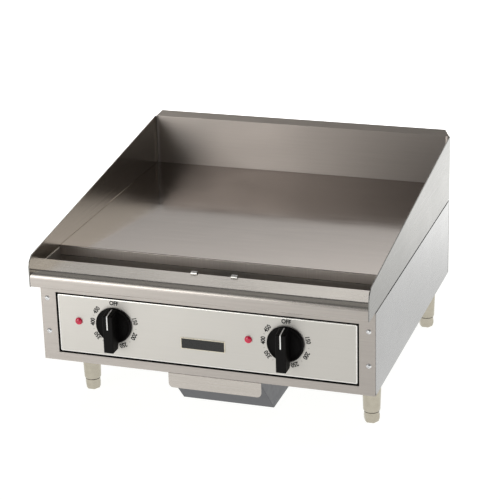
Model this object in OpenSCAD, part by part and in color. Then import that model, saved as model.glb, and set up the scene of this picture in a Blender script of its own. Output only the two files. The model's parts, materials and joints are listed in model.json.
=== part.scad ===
// Counter-top electric griddle with two thermostatic heating zones.
//
// Millimetres, +Z up, front of the griddle towards -Y. The origin lies on the
// counter, under the middle of the griddle's outline. Every sheet, plate and
// fitting is a solid of its own.

/* [Cabinet] */
// Width over the side panels
body_w = 610; // [500:2:760]
// Depth from the front frame to the back of the rear panel
body_d = 586; // [480:2:720]
// Height from the underside to the top of the side panels
body_h = 151.5; // [130:0.5:180]
// Thickness of the cabinet's sheet metal
sheet = 1.5; // [1:0.1:2]
// Width of each upright of the front frame
stile_w = 27; // [24:1:40]
// Height of the front frame's sill
sill_h = 14; // [10:1:24]
// Height of the front frame's header above the window
header_h = 19; // [8:0.5:24]
// Open seam between the cabinet and the splash guards
seam = 3; // [1:0.5:6]

/* [Griddle plate] */
// Thickness of the plate
plate_t = 19; // [10:1:25.4]
// Height of the plate's underside above the side panels
plate_seat = 14.5; // [10:0.5:24]

/* [Splash guards] */
// Thickness of the splash sheet
splash_t = 2; // [1.2:0.1:3]
// Height of the back splash above the cooking surface
splash_h = 98; // [60:1:160]
// Height of the side splashes above the cooking surface at their front
splash_front_h = 25; // [14:1:50]
// Width of the leaning flange along the top of the back splash
top_flange = 14; // [8:1:30]

/* [Front rail] */
// Overhang of the rail in front of the cabinet
rail_out = 42; // [36:1:70]
// Length of the ledge behind the cabinet's front face
ledge_back = 22; // [12:1:34]
// Radius of the rounded front edge
nose_r = 14; // [8:1:16]
// Height of the ledge below the cooking surface
ledge_drop = 1; // [0:0.5:4]
// Thickness of the rail's sheet
rail_t = 2; // [1.5:0.1:3]

/* [Grease trough and drain] */
// Width of the trough, from the ledge to the plate
trough_w = 67; // [60:1:90]
// Depth of the trough below the ledge
trough_depth = 55; // [40:1:60]
// Width of the drain, left to right
drain_w = 84; // [50:1:110]
// Length of the drain, front to back
drain_len = 46; // [30:1:50]
// Place of the drain and the drawer, to the right of the middle
drain_x = 15.5; // [-30:0.5:30]

/* [Grease drawer] */
// Width of the drawer
drawer_w = 171; // [130:1:220]
// Height of the drawer
drawer_h = 78; // [50:1:84]
// Length of the drawer along its rim
drawer_len = 280; // [220:2:340]
// Height of the pull at the front of the drawer
pull_h = 28; // [18:0.5:40]
// Thickness of the drawer's sheet
drawer_t = 1.2; // [0.8:0.1:2]

/* [Controls] */
// Distance between the two knobs
knob_pitch = 315; // [260:1:360]
// Place of the middle between the knobs, to the left of the middle
knob_shift = 10; // [0:1:20]
// Height of the knobs above the cabinet's underside
knob_z = 80; // [60:1:88]
// Radius of a knob's skirt
knob_r = 33; // [26:0.5:36]
// Distance from a knob to its pilot lamp
lamp_dx = 67; // [50:1:90]
// Diameter of a pilot lamp's lens
lamp_d = 13; // [10:0.5:18]

/* [Legs] */
// Height of the cabinet's underside above the counter
leg_h = 107; // [76:0.2:153]
// Largest radius of a leg
leg_r = 18; // [14:0.5:22]
// Distance from the cabinet's side to a leg's middle
leg_inset = 37; // [36:1:60]
// Distance from the front frame to the front legs
leg_front = 119; // [60:1:160]
// Distance from the rear panel to the rear legs
leg_back = 28; // [27:1:60]
// Height of a levelling foot
foot_h = 20; // [16:1:28]
// How far a levelling foot screws out
foot_travel = 20; // [10:1:25]

/* [Heating] */
// Diameter of the heating element's tube
tube_d = 8; // [6:0.5:10]
// Distance between the runs of a heating element
run_pitch = 42; // [36:1:48]
// Thickness of the insulation
wool_t = 28; // [20:1:34]

/* [Hidden] */
$fn = 64;

// Colours of the finishes
steel = "#c4c0bb";
steel_dark = "#8d8984";
plate_grey = "#9d9790";
nickel = "#b9b09a";
zinc = "#a9abad";
phenolic = "#1c1a19";
lamp_red = "#b5103a";
wool_cream = "#cfc7a8";

// Extra length that makes a cut run clear through its wall
cut = 1;
// Radial clearance of a shaft that turns or slides in a bore
running = 0.05;
// Gap between sliding sheets
slide_gap = 0.3;
// Gap between a fastener and its hole, on the radius
hole_gap = 0.15;

// The flange along the back splash leans back at this angle
lean = 45;
flange_rise = top_flange * sin(lean);
flange_run = top_flange * cos(lean);
flange_over = flange_run + splash_t * sin(lean) - splash_t;

// Planes across the depth
overall_d = rail_out + body_d + flange_over;
rail_y = -overall_d / 2;
front_y = rail_y + rail_out;
back_y = front_y + body_d;
ledge_y = front_y + ledge_back;
plate_y = ledge_y + trough_w;
splash_y = back_y - splash_t;

// Levels
floor_z = leg_h;
top_z = floor_z + body_h;
guard_z = top_z + seam;
plate_z = top_z + plate_seat;
cook_z = plate_z + plate_t;
ledge_z = cook_z - ledge_drop;
splash_z = cook_z + splash_h;
trough_z = ledge_z - trough_depth - sheet;

// Half widths
side_x = body_w / 2;
wall_x = side_x - sheet;
guard_x = side_x - splash_t;

// Turned-in flanges of the cabinet
flange_w = 20;
top_flange_w = 26;
base_flange_w = 16;

// The window in the front frame, and the control panel in it
window_x = side_x - stile_w;
window_lip = 8;
panel_gap = 2;
panel_inset = 0.5;
panel_depth = 11.5;
panel_x = window_x - sheet - panel_gap;
panel_z1 = floor_z + sill_h + sheet + panel_gap;
panel_z2 = top_z - header_h - sheet - panel_gap;
panel_y = front_y + panel_inset;
backplate_y = panel_y + panel_depth;

// Screws with round heads
screw_r = 2;
screw_head_r = 4.6;
screw_head_t = 2.4;
frame_screw_x = side_x - 12;
frame_screw_z = [floor_z + 55, floor_z + 118];
rear_screw_z = [floor_z + 30, floor_z + 90];
frame_screw_len = 9;

// Pilot lamps
lamp_body_r = 4.8;
lamp_body_len = 34;
lamp_lens_t = 4.5;

// Knobs, pointing up at their off mark
knob_gap = 1;
skirt_t = 5;
grip_w = 19.5;
grip_out = 25;
grip_head = knob_r - 1.5;
grip_tail = knob_r + 9;
shaft_r = 3;
shaft_hold = 18;
knob_back_y = panel_y - knob_gap - panel_inset;

// Thermostats
stat_w = 46;
stat_h = 42;
stat_d = 34;
stat_screw_dx = 14;

// Legs and levelling feet
stem_r = 5;
stem_len = 42;
leg_x = side_x - leg_inset;
leg_y = [front_y + leg_front, back_y - leg_back];
leg_stud_r = 4.75;
leg_plate_t = 3;
leg_plate_size = [36, 44];
leg_nut_af = 16;
leg_nut_h = 7;
foot_af = 27;

// Grease drawer, hung on two runners under the base pan
rim_w = 9;
runner_t = 1.2;
runner_lip = 8;
runner_drop = 6;
rim_z = floor_z - runner_drop + runner_t + slide_gap;
drawer_z = rim_z + drawer_t - drawer_h;
drawer_y = front_y + sheet + 1;
drawer_slope = drawer_h - 8;
runner_start = 20;
drawer_x1 = drain_x - drawer_w / 2;
drawer_x2 = drain_x + drawer_w / 2;
pull_r = 8;
pull_t = 2;

// Drain chute
chute_t = 1.2;
chute_y1 = ledge_y + 10;
chute_y2 = chute_y1 + drain_len;
chute_x1 = drain_x - drain_w / 2;
chute_x2 = drain_x + drain_w / 2;
chute_end_z = floor_z - 1;

// Channels that carry the plate
support_w = 22;
support_t = 2;
support_x2 = wall_x - 2.5;
support_x1 = support_x2 - support_w;
support_y = [plate_y + 8, back_y - 12];

// Heating elements: an even number of runs fills each zone
zone_x1 = 6;
zone_x2 = support_x1 - 5;
zone_x = (zone_x1 + zone_x2) / 2;
run_count = 2 * floor((zone_x2 - zone_x1 - tube_d) / (2 * run_pitch));
run_z = plate_z - tube_d / 2;
run_y = [plate_y + 34, splash_y - 44];
leg_bend_r = 12;
bar_t = 3;
bar_w = 20;
bar_z = run_z - tube_d / 2 - bar_t;
bar_y = [for (k = [0:2]) run_y[0] + 40 + k * (run_y[1] - run_y[0] - 80) / 2];
stud_r = 3;
stud_nut_af = 13;
stud_nut_h = 5;
stud_len = plate_z - bar_z + stud_nut_h + 2;
wool_z2 = plate_z - stud_len - 2;
wool_z1 = wool_z2 - wool_t;
baffle_z = wool_z1 - sheet;
terminal_z = baffle_z - 22;

// Sensing bulbs, held against the plate between two runs
bulb_r = 3;
bulb_len = 100;
capillary_r = 1.2;
bulb_y = run_y[0] + 90;

// Supply entry and terminal block
entry_x = side_x - 105;
entry_z = floor_z + 42;
entry_r = 14.3;
bushing_bore_r = 11;
block_size = [70, 32, 26];
block_y = back_y - 90;

// A box between two corners, given as a low and high value on each axis.
module block(x, y, z) {
    translate([x[0], y[0], z[0]])
        cube([x[1] - x[0], y[1] - y[0], z[1] - z[0]]);
}

// A pair of values mirrored to the left when side is -1.
function span(side, a, b) = side > 0 ? [a, b] : [-b, -a];

// A cylinder that starts at p and runs towards +Y.
module rod_y(p, r, len) {
    translate(p)
        rotate([-90, 0, 0])
            cylinder(r = r, h = len);
}

// A hexagonal nut with a plain bore, standing on p.
module nut_z(p, af, h, r) {
    translate(p)
        difference() {
            cylinder(r = af / 2 / cos(30), h = h, $fn = 6);
            translate([0, 0, -cut])
                cylinder(r = r, h = h + 2 * cut);
        }
}

// A screw along Y whose round head stands out towards -Y * dir.
module screw_y(p, dir, len) {
    translate(p)
        rotate([dir > 0 ? -90 : 90, 0, 0]) {
            cylinder(r = screw_r, h = len);
            rotate([180, 0, 0])
                rotate_extrude()
                    intersection() {
                        translate([0, screw_head_t - dome_r])
                            circle(r = dome_r);
                        square([screw_head_r, screw_head_t]);
                    }
        }
}
// Radius of the sphere that a screw's head is cut from.
dome_r = (screw_head_r * screw_head_r + screw_head_t * screw_head_t) / (2 * screw_head_t);

function unit(v) = v / norm(v);

// Direction of a route at its point k: the mean of the stretches before and after it.
function heading(p, k) = unit(
    (k > 0 ? unit(p[k] - p[k - 1]) : [0, 0, 0]) + (k < len(p) - 1 ? unit(p[k + 1] - p[k]) : [0, 0, 0]));

// One normal for each point of a route, each turned as little as possible from the one before.
function normals(p, k, n) = k == len(p) ? [] :
    let (t = heading(p, k), m = unit(n - (n * t) * t)) concat([m], normals(p, k + 1, m));

// A thin tube through a list of points: one ring of points at each.
module tube_through(points, r) {
    sides = 8;
    last = len(points) - 1;
    n = normals(points, 0, [0.8, 0.1, 0.6]);
    rings = [for (k = [0:last], s = [0:sides - 1])
        let (a = 360 * s / sides) points[k] + r * (cos(a) * n[k] + sin(a) * cross(heading(points, k), n[k]))];
    walls = [for (k = [0:last - 1], s = [0:sides - 1])
        let (a = k * sides, b = a + sides, e = (s + 1) % sides) [a + s, b + s, b + e, a + e]];
    polyhedron(rings, concat([[for (s = [0:sides - 1]) s]], walls,
        [[for (s = [sides - 1:-1:0]) last * sides + s]]));
}

// ---- Cabinet ----

module base_pan() {
    color(steel_dark)
        difference() {
            block([-wall_x, wall_x], [front_y + sheet, back_y - sheet], [floor_z, floor_z + sheet]);
            block([chute_x1 - slide_gap, chute_x2 + slide_gap], [chute_y1 - slide_gap, chute_y2 + slide_gap],
                [floor_z - cut, floor_z + sheet + cut]);
            for (sx = [-1, 1], y = leg_y)
                translate([sx * leg_x, y, floor_z - cut])
                    cylinder(r = leg_stud_r + hole_gap, h = sheet + 2 * cut);
            for (p = runner_screw_places)
                translate([p[0], p[1], floor_z - cut])
                    cylinder(r = screw_r + hole_gap, h = sheet + 2 * cut);
            for (sx = [-1, 1], k = [-3:3])
                block([sx * zone_x + k * 14 - 2.5, sx * zone_x + k * 14 + 2.5], [back_y - 170, back_y - 120],
                    [floor_z - cut, floor_z + sheet + cut]);
        }
}

module side_panel(side) {
    color(steel)
        difference() {
            union() {
                block(span(side, wall_x, side_x), [front_y + sheet, back_y - sheet], [floor_z, top_z]);
                // front and rear flanges that the frame and the rear panel are screwed to
                block(span(side, wall_x - flange_w, wall_x), [front_y + sheet, front_y + 2 * sheet],
                    [floor_z + 2 * sheet, top_z]);
                block(span(side, wall_x - flange_w, wall_x), [back_y - 2 * sheet, back_y - sheet],
                    [floor_z + 2 * sheet, top_z]);
                // flange under the plate's support and flange on the base pan
                block(span(side, wall_x - top_flange_w, wall_x), [plate_y + 5, back_y - 2 * sheet],
                    [top_z - sheet, top_z]);
                block(span(side, wall_x - base_flange_w, wall_x), [front_y + 3 * sheet, back_y - 3 * sheet],
                    [floor_z + sheet, floor_z + 2 * sheet]);
            }
            for (z = frame_screw_z)
                rod_y([side * frame_screw_x, front_y, z], screw_r + hole_gap, 3 * sheet);
            for (z = rear_screw_z)
                rod_y([side * frame_screw_x, back_y - 3 * sheet, z], screw_r + hole_gap, 3 * sheet);
            // relief hole where two bends meet at the lower front corner
            translate([side * wall_x, front_y + sheet + 2.4, floor_z + 2.2])
                rotate([0, 90 * side, 0])
                    cylinder(r = 1.5, h = sheet + cut);
        }
}

module rear_panel() {
    slot_count = 9;
    slot_pitch = 16;
    color(steel)
        difference() {
            block([-side_x, side_x], [back_y - sheet, back_y], [floor_z, top_z]);
            for (sx = [-1, 1], z = rear_screw_z)
                rod_y([sx * frame_screw_x, back_y - sheet - cut, z], screw_r + hole_gap, sheet + 2 * cut);
            rod_y([entry_x, back_y - sheet - cut, entry_z], entry_r, sheet + 2 * cut);
            for (k = [0:slot_count - 1])
                block([-zone_x + (k - slot_count / 2) * slot_pitch, -zone_x + (k - slot_count / 2) * slot_pitch + 5],
                    [back_y - sheet - cut, back_y + cut], [floor_z + 40, floor_z + 95]);
        }
}

module front_frame() {
    color(steel)
        difference() {
            union() {
                block([-side_x, side_x], [front_y, front_y + sheet], [floor_z, top_z]);
                block([-window_x, window_x], [front_y, front_y + window_lip],
                    [floor_z + sill_h, top_z - header_h]);
            }
            block([-window_x + sheet, window_x - sheet], [front_y - cut, front_y + window_lip + cut],
                [floor_z + sill_h + sheet, top_z - header_h - sheet]);
            for (sx = [-1, 1], z = frame_screw_z)
                rod_y([sx * frame_screw_x, front_y - cut, z], screw_r + hole_gap, sheet + 2 * cut);
        }
}

// Places of the knobs and lamps, left one first.
knob_x = [for (s = [-1, 1]) s * knob_pitch / 2 - knob_shift];
lamp_x = [for (x = knob_x) x - lamp_dx];
knob_level = floor_z + knob_z;

module control_panel() {
    color(steel)
        difference() {
            block([-panel_x, panel_x], [panel_y, backplate_y], [panel_z1, panel_z2]);
            block([-panel_x + sheet, panel_x - sheet], [panel_y + sheet, backplate_y + cut],
                [panel_z1 + sheet, panel_z2 - sheet]);
            for (k = [0:1]) {
                rod_y([knob_x[k], panel_y - cut, knob_level], shaft_r + 1, sheet + 2 * cut);
                rod_y([lamp_x[k], panel_y - cut, knob_level], lamp_body_r + hole_gap, sheet + 2 * cut);
            }
        }
}

module control_backplate() {
    edge_x = wall_x - 4;
    color(steel_dark)
        difference() {
            union() {
                block([-edge_x, edge_x], [backplate_y, backplate_y + sheet], [floor_z + 2 * sheet, top_z - 6]);
                for (side = [-1, 1])
                    block(span(side, edge_x - sheet, edge_x), [front_y + 2 * sheet, backplate_y],
                        [floor_z + 2 * sheet, top_z - 6]);
            }
            for (k = [0:1]) {
                rod_y([knob_x[k], backplate_y - cut, knob_level], shaft_r + 2, sheet + 2 * cut);
                rod_y([lamp_x[k], backplate_y - cut, knob_level], lamp_body_r + 1, sheet + 2 * cut);
                for (s = [-1, 1])
                    rod_y([knob_x[k] + s * stat_screw_dx, backplate_y - cut, knob_level],
                        screw_r + hole_gap, sheet + 2 * cut);
            }
        }
}

module frame_screws() {
    color(zinc)
        for (sx = [-1, 1], z = frame_screw_z)
            screw_y([sx * frame_screw_x, front_y, z], 1, frame_screw_len);
}

module rear_screws() {
    color(zinc)
        for (sx = [-1, 1], z = rear_screw_z)
            screw_y([sx * frame_screw_x, back_y, z], -1, frame_screw_len);
}

module badge_plate() {
    badge_size = [81.5, 21.5];
    badge_t = 1.2;
    badge_x = -3;
    badge_z = floor_z + 59.8;
    color(phenolic)
        block([badge_x - badge_size[0] / 2, badge_x + badge_size[0] / 2], [panel_y - badge_t, panel_y],
            [badge_z - badge_size[1] / 2, badge_z + badge_size[1] / 2]);
}

module supply_bushing() {
    rim = 3;
    color(phenolic)
        translate([entry_x, back_y, entry_z])
            rotate([90, 0, 0])
                difference() {
                    union() {
                        translate([0, 0, -rim])
                            cylinder(r = entry_r + 3, h = rim);
                        cylinder(r = entry_r - hole_gap, h = 8);
                    }
                    translate([0, 0, -rim - cut])
                        cylinder(r = bushing_bore_r, h = 8 + rim + 2 * cut);
                }
}

// ---- Legs ----

module leg(sx, row) {
    taper = 1.4;
    chamfer = 3;
    color(nickel)
        translate([sx * leg_x, leg_y[row], 0])
            difference() {
                union() {
                    rotate_extrude()
                        polygon([[0, foot_h], [leg_r - taper - chamfer, foot_h], [leg_r - taper, foot_h + chamfer],
                            [leg_r, leg_h], [0, leg_h]]);
                    translate([0, 0, leg_h - cut])
                        cylinder(r = leg_stud_r, h = cut + sheet + leg_plate_t + leg_nut_h + 2);
                }
                translate([0, 0, foot_h - cut])
                    cylinder(r = stem_r + running, h = stem_len + 2 + cut);
            }
}

module foot(sx, row) {
    collar_r = leg_r - 3.8;
    hex_h = 0.55 * foot_h;
    chamfer = 3;
    color(nickel)
        translate([sx * leg_x, leg_y[row], 0]) {
            intersection() {
                cylinder(r = foot_af / 2 / cos(30), h = hex_h, $fn = 6);
                rotate_extrude()
                    polygon([[0, 0], [foot_af / 2 - chamfer, 0], [foot_af / 2 + 2.2, chamfer + 2.2],
                        [foot_af / 2 + 2.2, hex_h], [0, hex_h]]);
            }
            translate([0, 0, hex_h])
                cylinder(r = collar_r, h = foot_h - hex_h);
            translate([0, 0, foot_h])
                cylinder(r = stem_r, h = stem_len);
        }
}

module leg_plates() {
    color(steel_dark)
        for (sx = [-1, 1], y = leg_y)
            difference() {
                block([sx * leg_x - leg_plate_size[0] / 2, sx * leg_x + leg_plate_size[0] / 2],
                    [y - leg_plate_size[1] / 2, y + leg_plate_size[1] / 2],
                    [floor_z + sheet, floor_z + sheet + leg_plate_t]);
                translate([sx * leg_x, y, floor_z])
                    cylinder(r = leg_stud_r + hole_gap, h = sheet + leg_plate_t + cut);
            }
}

module leg_nuts() {
    color(zinc)
        for (sx = [-1, 1], y = leg_y)
            nut_z([sx * leg_x, y, floor_z + sheet + leg_plate_t], leg_nut_af, leg_nut_h, leg_stud_r + running);
}

// ---- Griddle top ----

module griddle_plate() {
    bevel = 2;
    color(plate_grey)
        translate([-guard_x, 0, 0])
            rotate([90, 0, 90])
                linear_extrude(2 * guard_x)
                    polygon([[plate_y, plate_z], [splash_y, plate_z], [splash_y, cook_z],
                        [plate_y + bevel, cook_z], [plate_y, cook_z - bevel]]);
}

module side_splash(side) {
    tip_y = rail_y + 9.6;
    color(steel)
        translate([side > 0 ? guard_x : -side_x, 0, 0])
            rotate([90, 0, 90])
                linear_extrude(splash_t)
                    polygon([[rail_y, guard_z], [back_y, guard_z], [back_y, splash_z],
                        [tip_y, cook_z + splash_front_h], [rail_y + 3, cook_z + splash_front_h - 9],
                        [rail_y, cook_z + splash_front_h - 18]]);
}

module back_splash() {
    bend_z = splash_z - splash_t * (1 / cos(lean) - tan(lean));
    color(steel)
        intersection() {
            translate([-guard_x, 0, 0])
                rotate([90, 0, 90])
                    linear_extrude(2 * guard_x)
                        polygon([[splash_y, guard_z], [back_y, guard_z], [back_y, bend_z],
                            [splash_y + flange_run + splash_t * sin(lean), splash_z + flange_rise
                                - splash_t * cos(lean)],
                            [splash_y + flange_run, splash_z + flange_rise], [splash_y, splash_z]]);
            // the flange's ends are mitred
            translate([0, back_y + flange_over + cut, 0])
                rotate([90, 0, 0])
                    linear_extrude(splash_t + flange_over + 2 * cut)
                        polygon([[-guard_x, guard_z - cut], [guard_x, guard_z - cut], [guard_x, splash_z],
                            [guard_x - flange_rise, splash_z + flange_rise],
                            [-guard_x + flange_rise, splash_z + flange_rise], [-guard_x, splash_z]]);
        }
}

// Outline of the rail from the side, shrunk by inset on every side.
module rail_outline(inset) {
    r = nose_r - inset;
    translate([rail_y + nose_r, ledge_z - nose_r])
        circle(r = r);
    translate([rail_y + inset, guard_z + inset])
        square([nose_r - inset, ledge_z - nose_r - guard_z - inset]);
    translate([rail_y + nose_r, guard_z + inset])
        square([ledge_y - rail_y - nose_r - inset, ledge_z - guard_z - 2 * inset]);
}

module front_rail() {
    lower_lip = 14;
    rear_lip = 11;
    color(steel)
        translate([-guard_x, 0, 0])
            rotate([90, 0, 90])
                linear_extrude(2 * guard_x)
                    difference() {
                        rail_outline(0);
                        rail_outline(rail_t);
                        translate([rail_y + lower_lip, guard_z - cut])
                            square([ledge_y - rail_y - lower_lip + cut, ledge_z - rear_lip - guard_z + cut]);
                    }
}

module grease_trough() {
    rear_y = plate_y + 1;
    color(steel)
        difference() {
            block([-guard_x, guard_x], [ledge_y, rear_y + sheet], [trough_z, ledge_z - 2]);
            block([-guard_x + sheet, guard_x - sheet], [ledge_y + sheet, rear_y], [trough_z + sheet, ledge_z]);
            // the rear wall and the ends stop below the plate
            block([-guard_x - cut, guard_x + cut], [plate_y - 1, rear_y + sheet + cut], [plate_z - 1, ledge_z]);
            block([chute_x1 + chute_t, chute_x2 - chute_t], [chute_y1 + chute_t, chute_y2 - chute_t],
                [trough_z - cut, trough_z + sheet + cut]);
        }
}

module drain_chute() {
    flange = 8;
    color(steel_dark)
        difference() {
            union() {
                block([chute_x1, chute_x2], [chute_y1, chute_y2], [chute_end_z, trough_z]);
                block([chute_x1 - flange, chute_x2 + flange], [chute_y1 - flange, chute_y2 + flange],
                    [trough_z - chute_t, trough_z]);
            }
            block([chute_x1 + chute_t, chute_x2 - chute_t], [chute_y1 + chute_t, chute_y2 - chute_t],
                [chute_end_z - cut, trough_z + cut]);
        }
}

module drain_guard() {
    hook_w = 11;
    hook_up = 3;
    guard_y = ledge_y + sheet;
    color(steel)
        union() {
            block([chute_x1, chute_x2], [guard_y, guard_y + chute_t], [trough_z + sheet, ledge_z]);
            for (x = [chute_x1, chute_x2 - hook_w]) {
                block([x, x + hook_w], [guard_y, guard_y + chute_t], [ledge_z, ledge_z + hook_up + chute_t]);
                block([x, x + hook_w], [ledge_y - 5, guard_y], [ledge_z + hook_up, ledge_z + hook_up + chute_t]);
                block([x, x + hook_w], [ledge_y - 5 - chute_t, ledge_y - 5], [ledge_z, ledge_z + hook_up + chute_t]);
            }
        }
}

module plate_support(side) {
    color(steel_dark)
        difference() {
            block(span(side, support_x1, support_x2), support_y, [top_z, plate_z]);
            block(span(side, support_x1 + support_t, support_x2 - support_t),
                [support_y[0] - cut, support_y[1] + cut], [top_z - cut, plate_z - support_t]);
        }
}

// ---- Grease drawer ----

module grease_drawer() {
    rear = drawer_y + drawer_len;
    color(steel_dark)
        difference() {
            union() {
                translate([drawer_x1, 0, 0])
                    rotate([90, 0, 90])
                        linear_extrude(drawer_w)
                            polygon([[drawer_y, rim_z + drawer_t], [drawer_y, rim_z + drawer_t - 2],
                                [drawer_y + drawer_slope, drawer_z], [rear, drawer_z], [rear, rim_z + drawer_t]]);
                block([drawer_x1 - rim_w, drawer_x2 + rim_w], [front_y + runner_start, rear],
                    [rim_z, rim_z + drawer_t]);
            }
            translate([drawer_x1 + drawer_t, 0, 0])
                rotate([90, 0, 90])
                    linear_extrude(drawer_w - 2 * drawer_t)
                        polygon([[drawer_y + drawer_t, rim_z + drawer_t + cut],
                            [drawer_y + drawer_t, rim_z + drawer_t - 2 + 0.41 * drawer_t],
                            [drawer_y + drawer_slope + 0.41 * drawer_t, drawer_z + drawer_t],
                            [rear - drawer_t, drawer_z + drawer_t], [rear - drawer_t, rim_z + drawer_t + cut]]);
        }
}

module drawer_pull() {
    top = floor_z - 2 * slide_gap;
    color(steel)
        translate([0, drawer_y, 0])
            rotate([90, 0, 0])
                linear_extrude(pull_t) {
                    translate([drawer_x1 + pull_r, top - pull_h])
                        square([drawer_w - 2 * pull_r, pull_h]);
                    translate([drawer_x1, top - pull_h + pull_r])
                        square([drawer_w, pull_h - pull_r]);
                    for (x = [drawer_x1 + pull_r, drawer_x2 - pull_r])
                        translate([x, top - pull_h + pull_r])
                            circle(r = pull_r);
                }
}

// A runner is screwed to the base pan and carries the drawer's rim on its lip.
runner_x = drawer_w / 2 + rim_w + slide_gap;
runner_foot = 14;
runner_y = [front_y + runner_start, drawer_y + drawer_len + 6];
runner_screw_places = [for (s = [-1, 1], y = [runner_y[0] + 30, runner_y[1] - 30])
    [drain_x + s * (runner_x + runner_t + runner_foot / 2), y]];

module drawer_runner(side) {
    color(zinc)
        difference() {
            translate([drain_x, 0, 0]) {
                block(span(side, runner_x, runner_x + runner_t), runner_y, [floor_z - runner_drop, floor_z]);
                block(span(side, runner_x + runner_t, runner_x + runner_t + runner_foot), runner_y,
                    [floor_z - runner_t, floor_z]);
                block(span(side, runner_x - runner_lip, runner_x), runner_y,
                    [floor_z - runner_drop, floor_z - runner_drop + runner_t]);
            }
            for (p = runner_screw_places)
                translate([p[0], p[1], floor_z - runner_t - cut])
                    cylinder(r = screw_r + hole_gap, h = runner_t + 2 * cut);
        }
}

module runner_screws() {
    head_t = 2;
    color(zinc)
        for (p = runner_screw_places)
            translate([p[0], p[1], floor_z - runner_t]) {
                cylinder(r = screw_r, h = runner_t + sheet + 4);
                translate([0, 0, -head_t])
                    cylinder(r = screw_head_r - 0.6, h = head_t);
            }
}

// ---- Controls ----

module knob(k) {
    bevel = 1.5;
    color(phenolic)
        translate([knob_x[k], knob_back_y, knob_level])
            rotate([90, 0, 0])
                difference() {
                    union() {
                        rotate_extrude()
                            polygon([[0, 0], [knob_r, 0], [knob_r, skirt_t - bevel], [knob_r - bevel, skirt_t],
                                [0, skirt_t]]);
                        translate([-grip_w / 2, 0, 0])
                            rotate([90, 0, 90])
                                linear_extrude(grip_w)
                                    polygon([[-grip_tail, 0], [grip_head, 0], [grip_head, skirt_t],
                                        [grip_head - 1.5, skirt_t + grip_out], [-grip_tail, skirt_t + grip_out]]);
                    }
                    translate([0, 0, -cut])
                        cylinder(r = shaft_r + running, h = shaft_hold + cut);
                }
}

module thermostat_shaft(k) {
    tip_y = knob_back_y - shaft_hold + 0.5;
    end_y = backplate_y + sheet + stat_d - 8;
    color(zinc)
        rod_y([knob_x[k], tip_y, knob_level], shaft_r, end_y - tip_y);
}

module thermostat(k) {
    stat_y = backplate_y + sheet;
    color("#d8d2c4")
        difference() {
            union() {
                block([knob_x[k] - stat_w / 2, knob_x[k] + stat_w / 2], [stat_y, stat_y + stat_d],
                    [knob_level - stat_h / 2, knob_level + stat_h / 2]);
                // terminal tabs at the back
                for (s = [-1, 1], t = [-1, 1])
                    block([knob_x[k] + s * 14 - 3, knob_x[k] + s * 14 + 3], [stat_y + stat_d, stat_y + stat_d + 8],
                        [knob_level + t * 12 - 0.5, knob_level + t * 12 + 0.5]);
            }
            rod_y([knob_x[k], stat_y - cut, knob_level], shaft_r + running, stat_d - 7 + cut);
            for (s = [-1, 1])
                rod_y([knob_x[k] + s * stat_screw_dx, stat_y - cut, knob_level], screw_r + running, 8 + cut);
        }
}

module thermostat_screws() {
    color(zinc)
        for (k = [0:1], s = [-1, 1])
            screw_y([knob_x[k] + s * stat_screw_dx, backplate_y, knob_level], 1, sheet + 7);
}

module lamp_lens(k) {
    color(lamp_red)
        translate([lamp_x[k], panel_y, knob_level])
            rotate([90, 0, 0])
                rotate_extrude()
                    intersection() {
                        translate([0, lamp_lens_t - lens_r])
                            circle(r = lens_r);
                        square([lamp_d / 2, lamp_lens_t]);
                    }
}
// Radius of the sphere that a lens is cut from.
lens_r = (lamp_d * lamp_d / 4 + lamp_lens_t * lamp_lens_t) / (2 * lamp_lens_t);

module lamp_body(k) {
    color("#e4ddcb")
        rod_y([lamp_x[k], panel_y, knob_level], lamp_body_r, lamp_body_len);
}

module lamp_nuts() {
    nut_t = 4;
    color(zinc)
        for (x = lamp_x)
            difference() {
                rod_y([x, panel_y + sheet, knob_level], lamp_body_r + 3, nut_t);
                rod_y([x, panel_y + sheet - cut, knob_level], lamp_body_r + running, nut_t + 2 * cut);
            }
}

// ---- Heating ----

run_x = [for (k = [0:run_count - 1]) (k - (run_count - 1) / 2) * run_pitch];
element_leg_x = [run_x[0], run_x[run_count - 1]];
element_leg_y = run_y[0] - leg_bend_r;
clamp_dx = [-run_pitch, run_pitch];

module heating_element(side) {
    tube_r = tube_d / 2;
    color("#5b5751")
        translate([side * zone_x, 0, 0])
            union() {
                for (x = run_x)
                    rod_y([x, run_y[0], run_z], tube_r, run_y[1] - run_y[0]);
                // rear bends join runs in pairs, front bends join the pairs
                for (k = [0:2:run_count - 2])
                    translate([run_x[k] + run_pitch / 2, run_y[1], run_z])
                        rotate_extrude(angle = 180)
                            translate([run_pitch / 2, 0])
                                circle(r = tube_r);
                for (k = [1:2:run_count - 3])
                    translate([run_x[k] + run_pitch / 2, run_y[0], run_z])
                        rotate([0, 0, 180])
                            rotate_extrude(angle = 180)
                                translate([run_pitch / 2, 0])
                                    circle(r = tube_r);
                // the two ends turn down and carry the terminals
                for (x = element_leg_x) {
                    translate([x, run_y[0], run_z - leg_bend_r])
                        rotate([90, 0, -90])
                            rotate_extrude(angle = 90)
                                translate([leg_bend_r, 0])
                                    circle(r = tube_r);
                    translate([x, element_leg_y, terminal_z])
                        cylinder(r = tube_r, h = run_z - leg_bend_r - terminal_z);
                    translate([x, element_leg_y, terminal_z - 10])
                        cylinder(r = 2, h = 10);
                }
            }
}

module element_clamps() {
    bar_len = (run_count - 1) * run_pitch + tube_d + 6;
    color(zinc)
        for (sx = [-1, 1], y = bar_y)
            difference() {
                block([sx * zone_x - bar_len / 2, sx * zone_x + bar_len / 2], [y - bar_w / 2, y + bar_w / 2],
                    [bar_z, bar_z + bar_t]);
                for (dx = clamp_dx)
                    translate([sx * zone_x + dx, y, bar_z - cut])
                        cylinder(r = stud_r + hole_gap, h = bar_t + 2 * cut);
            }
}

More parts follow.
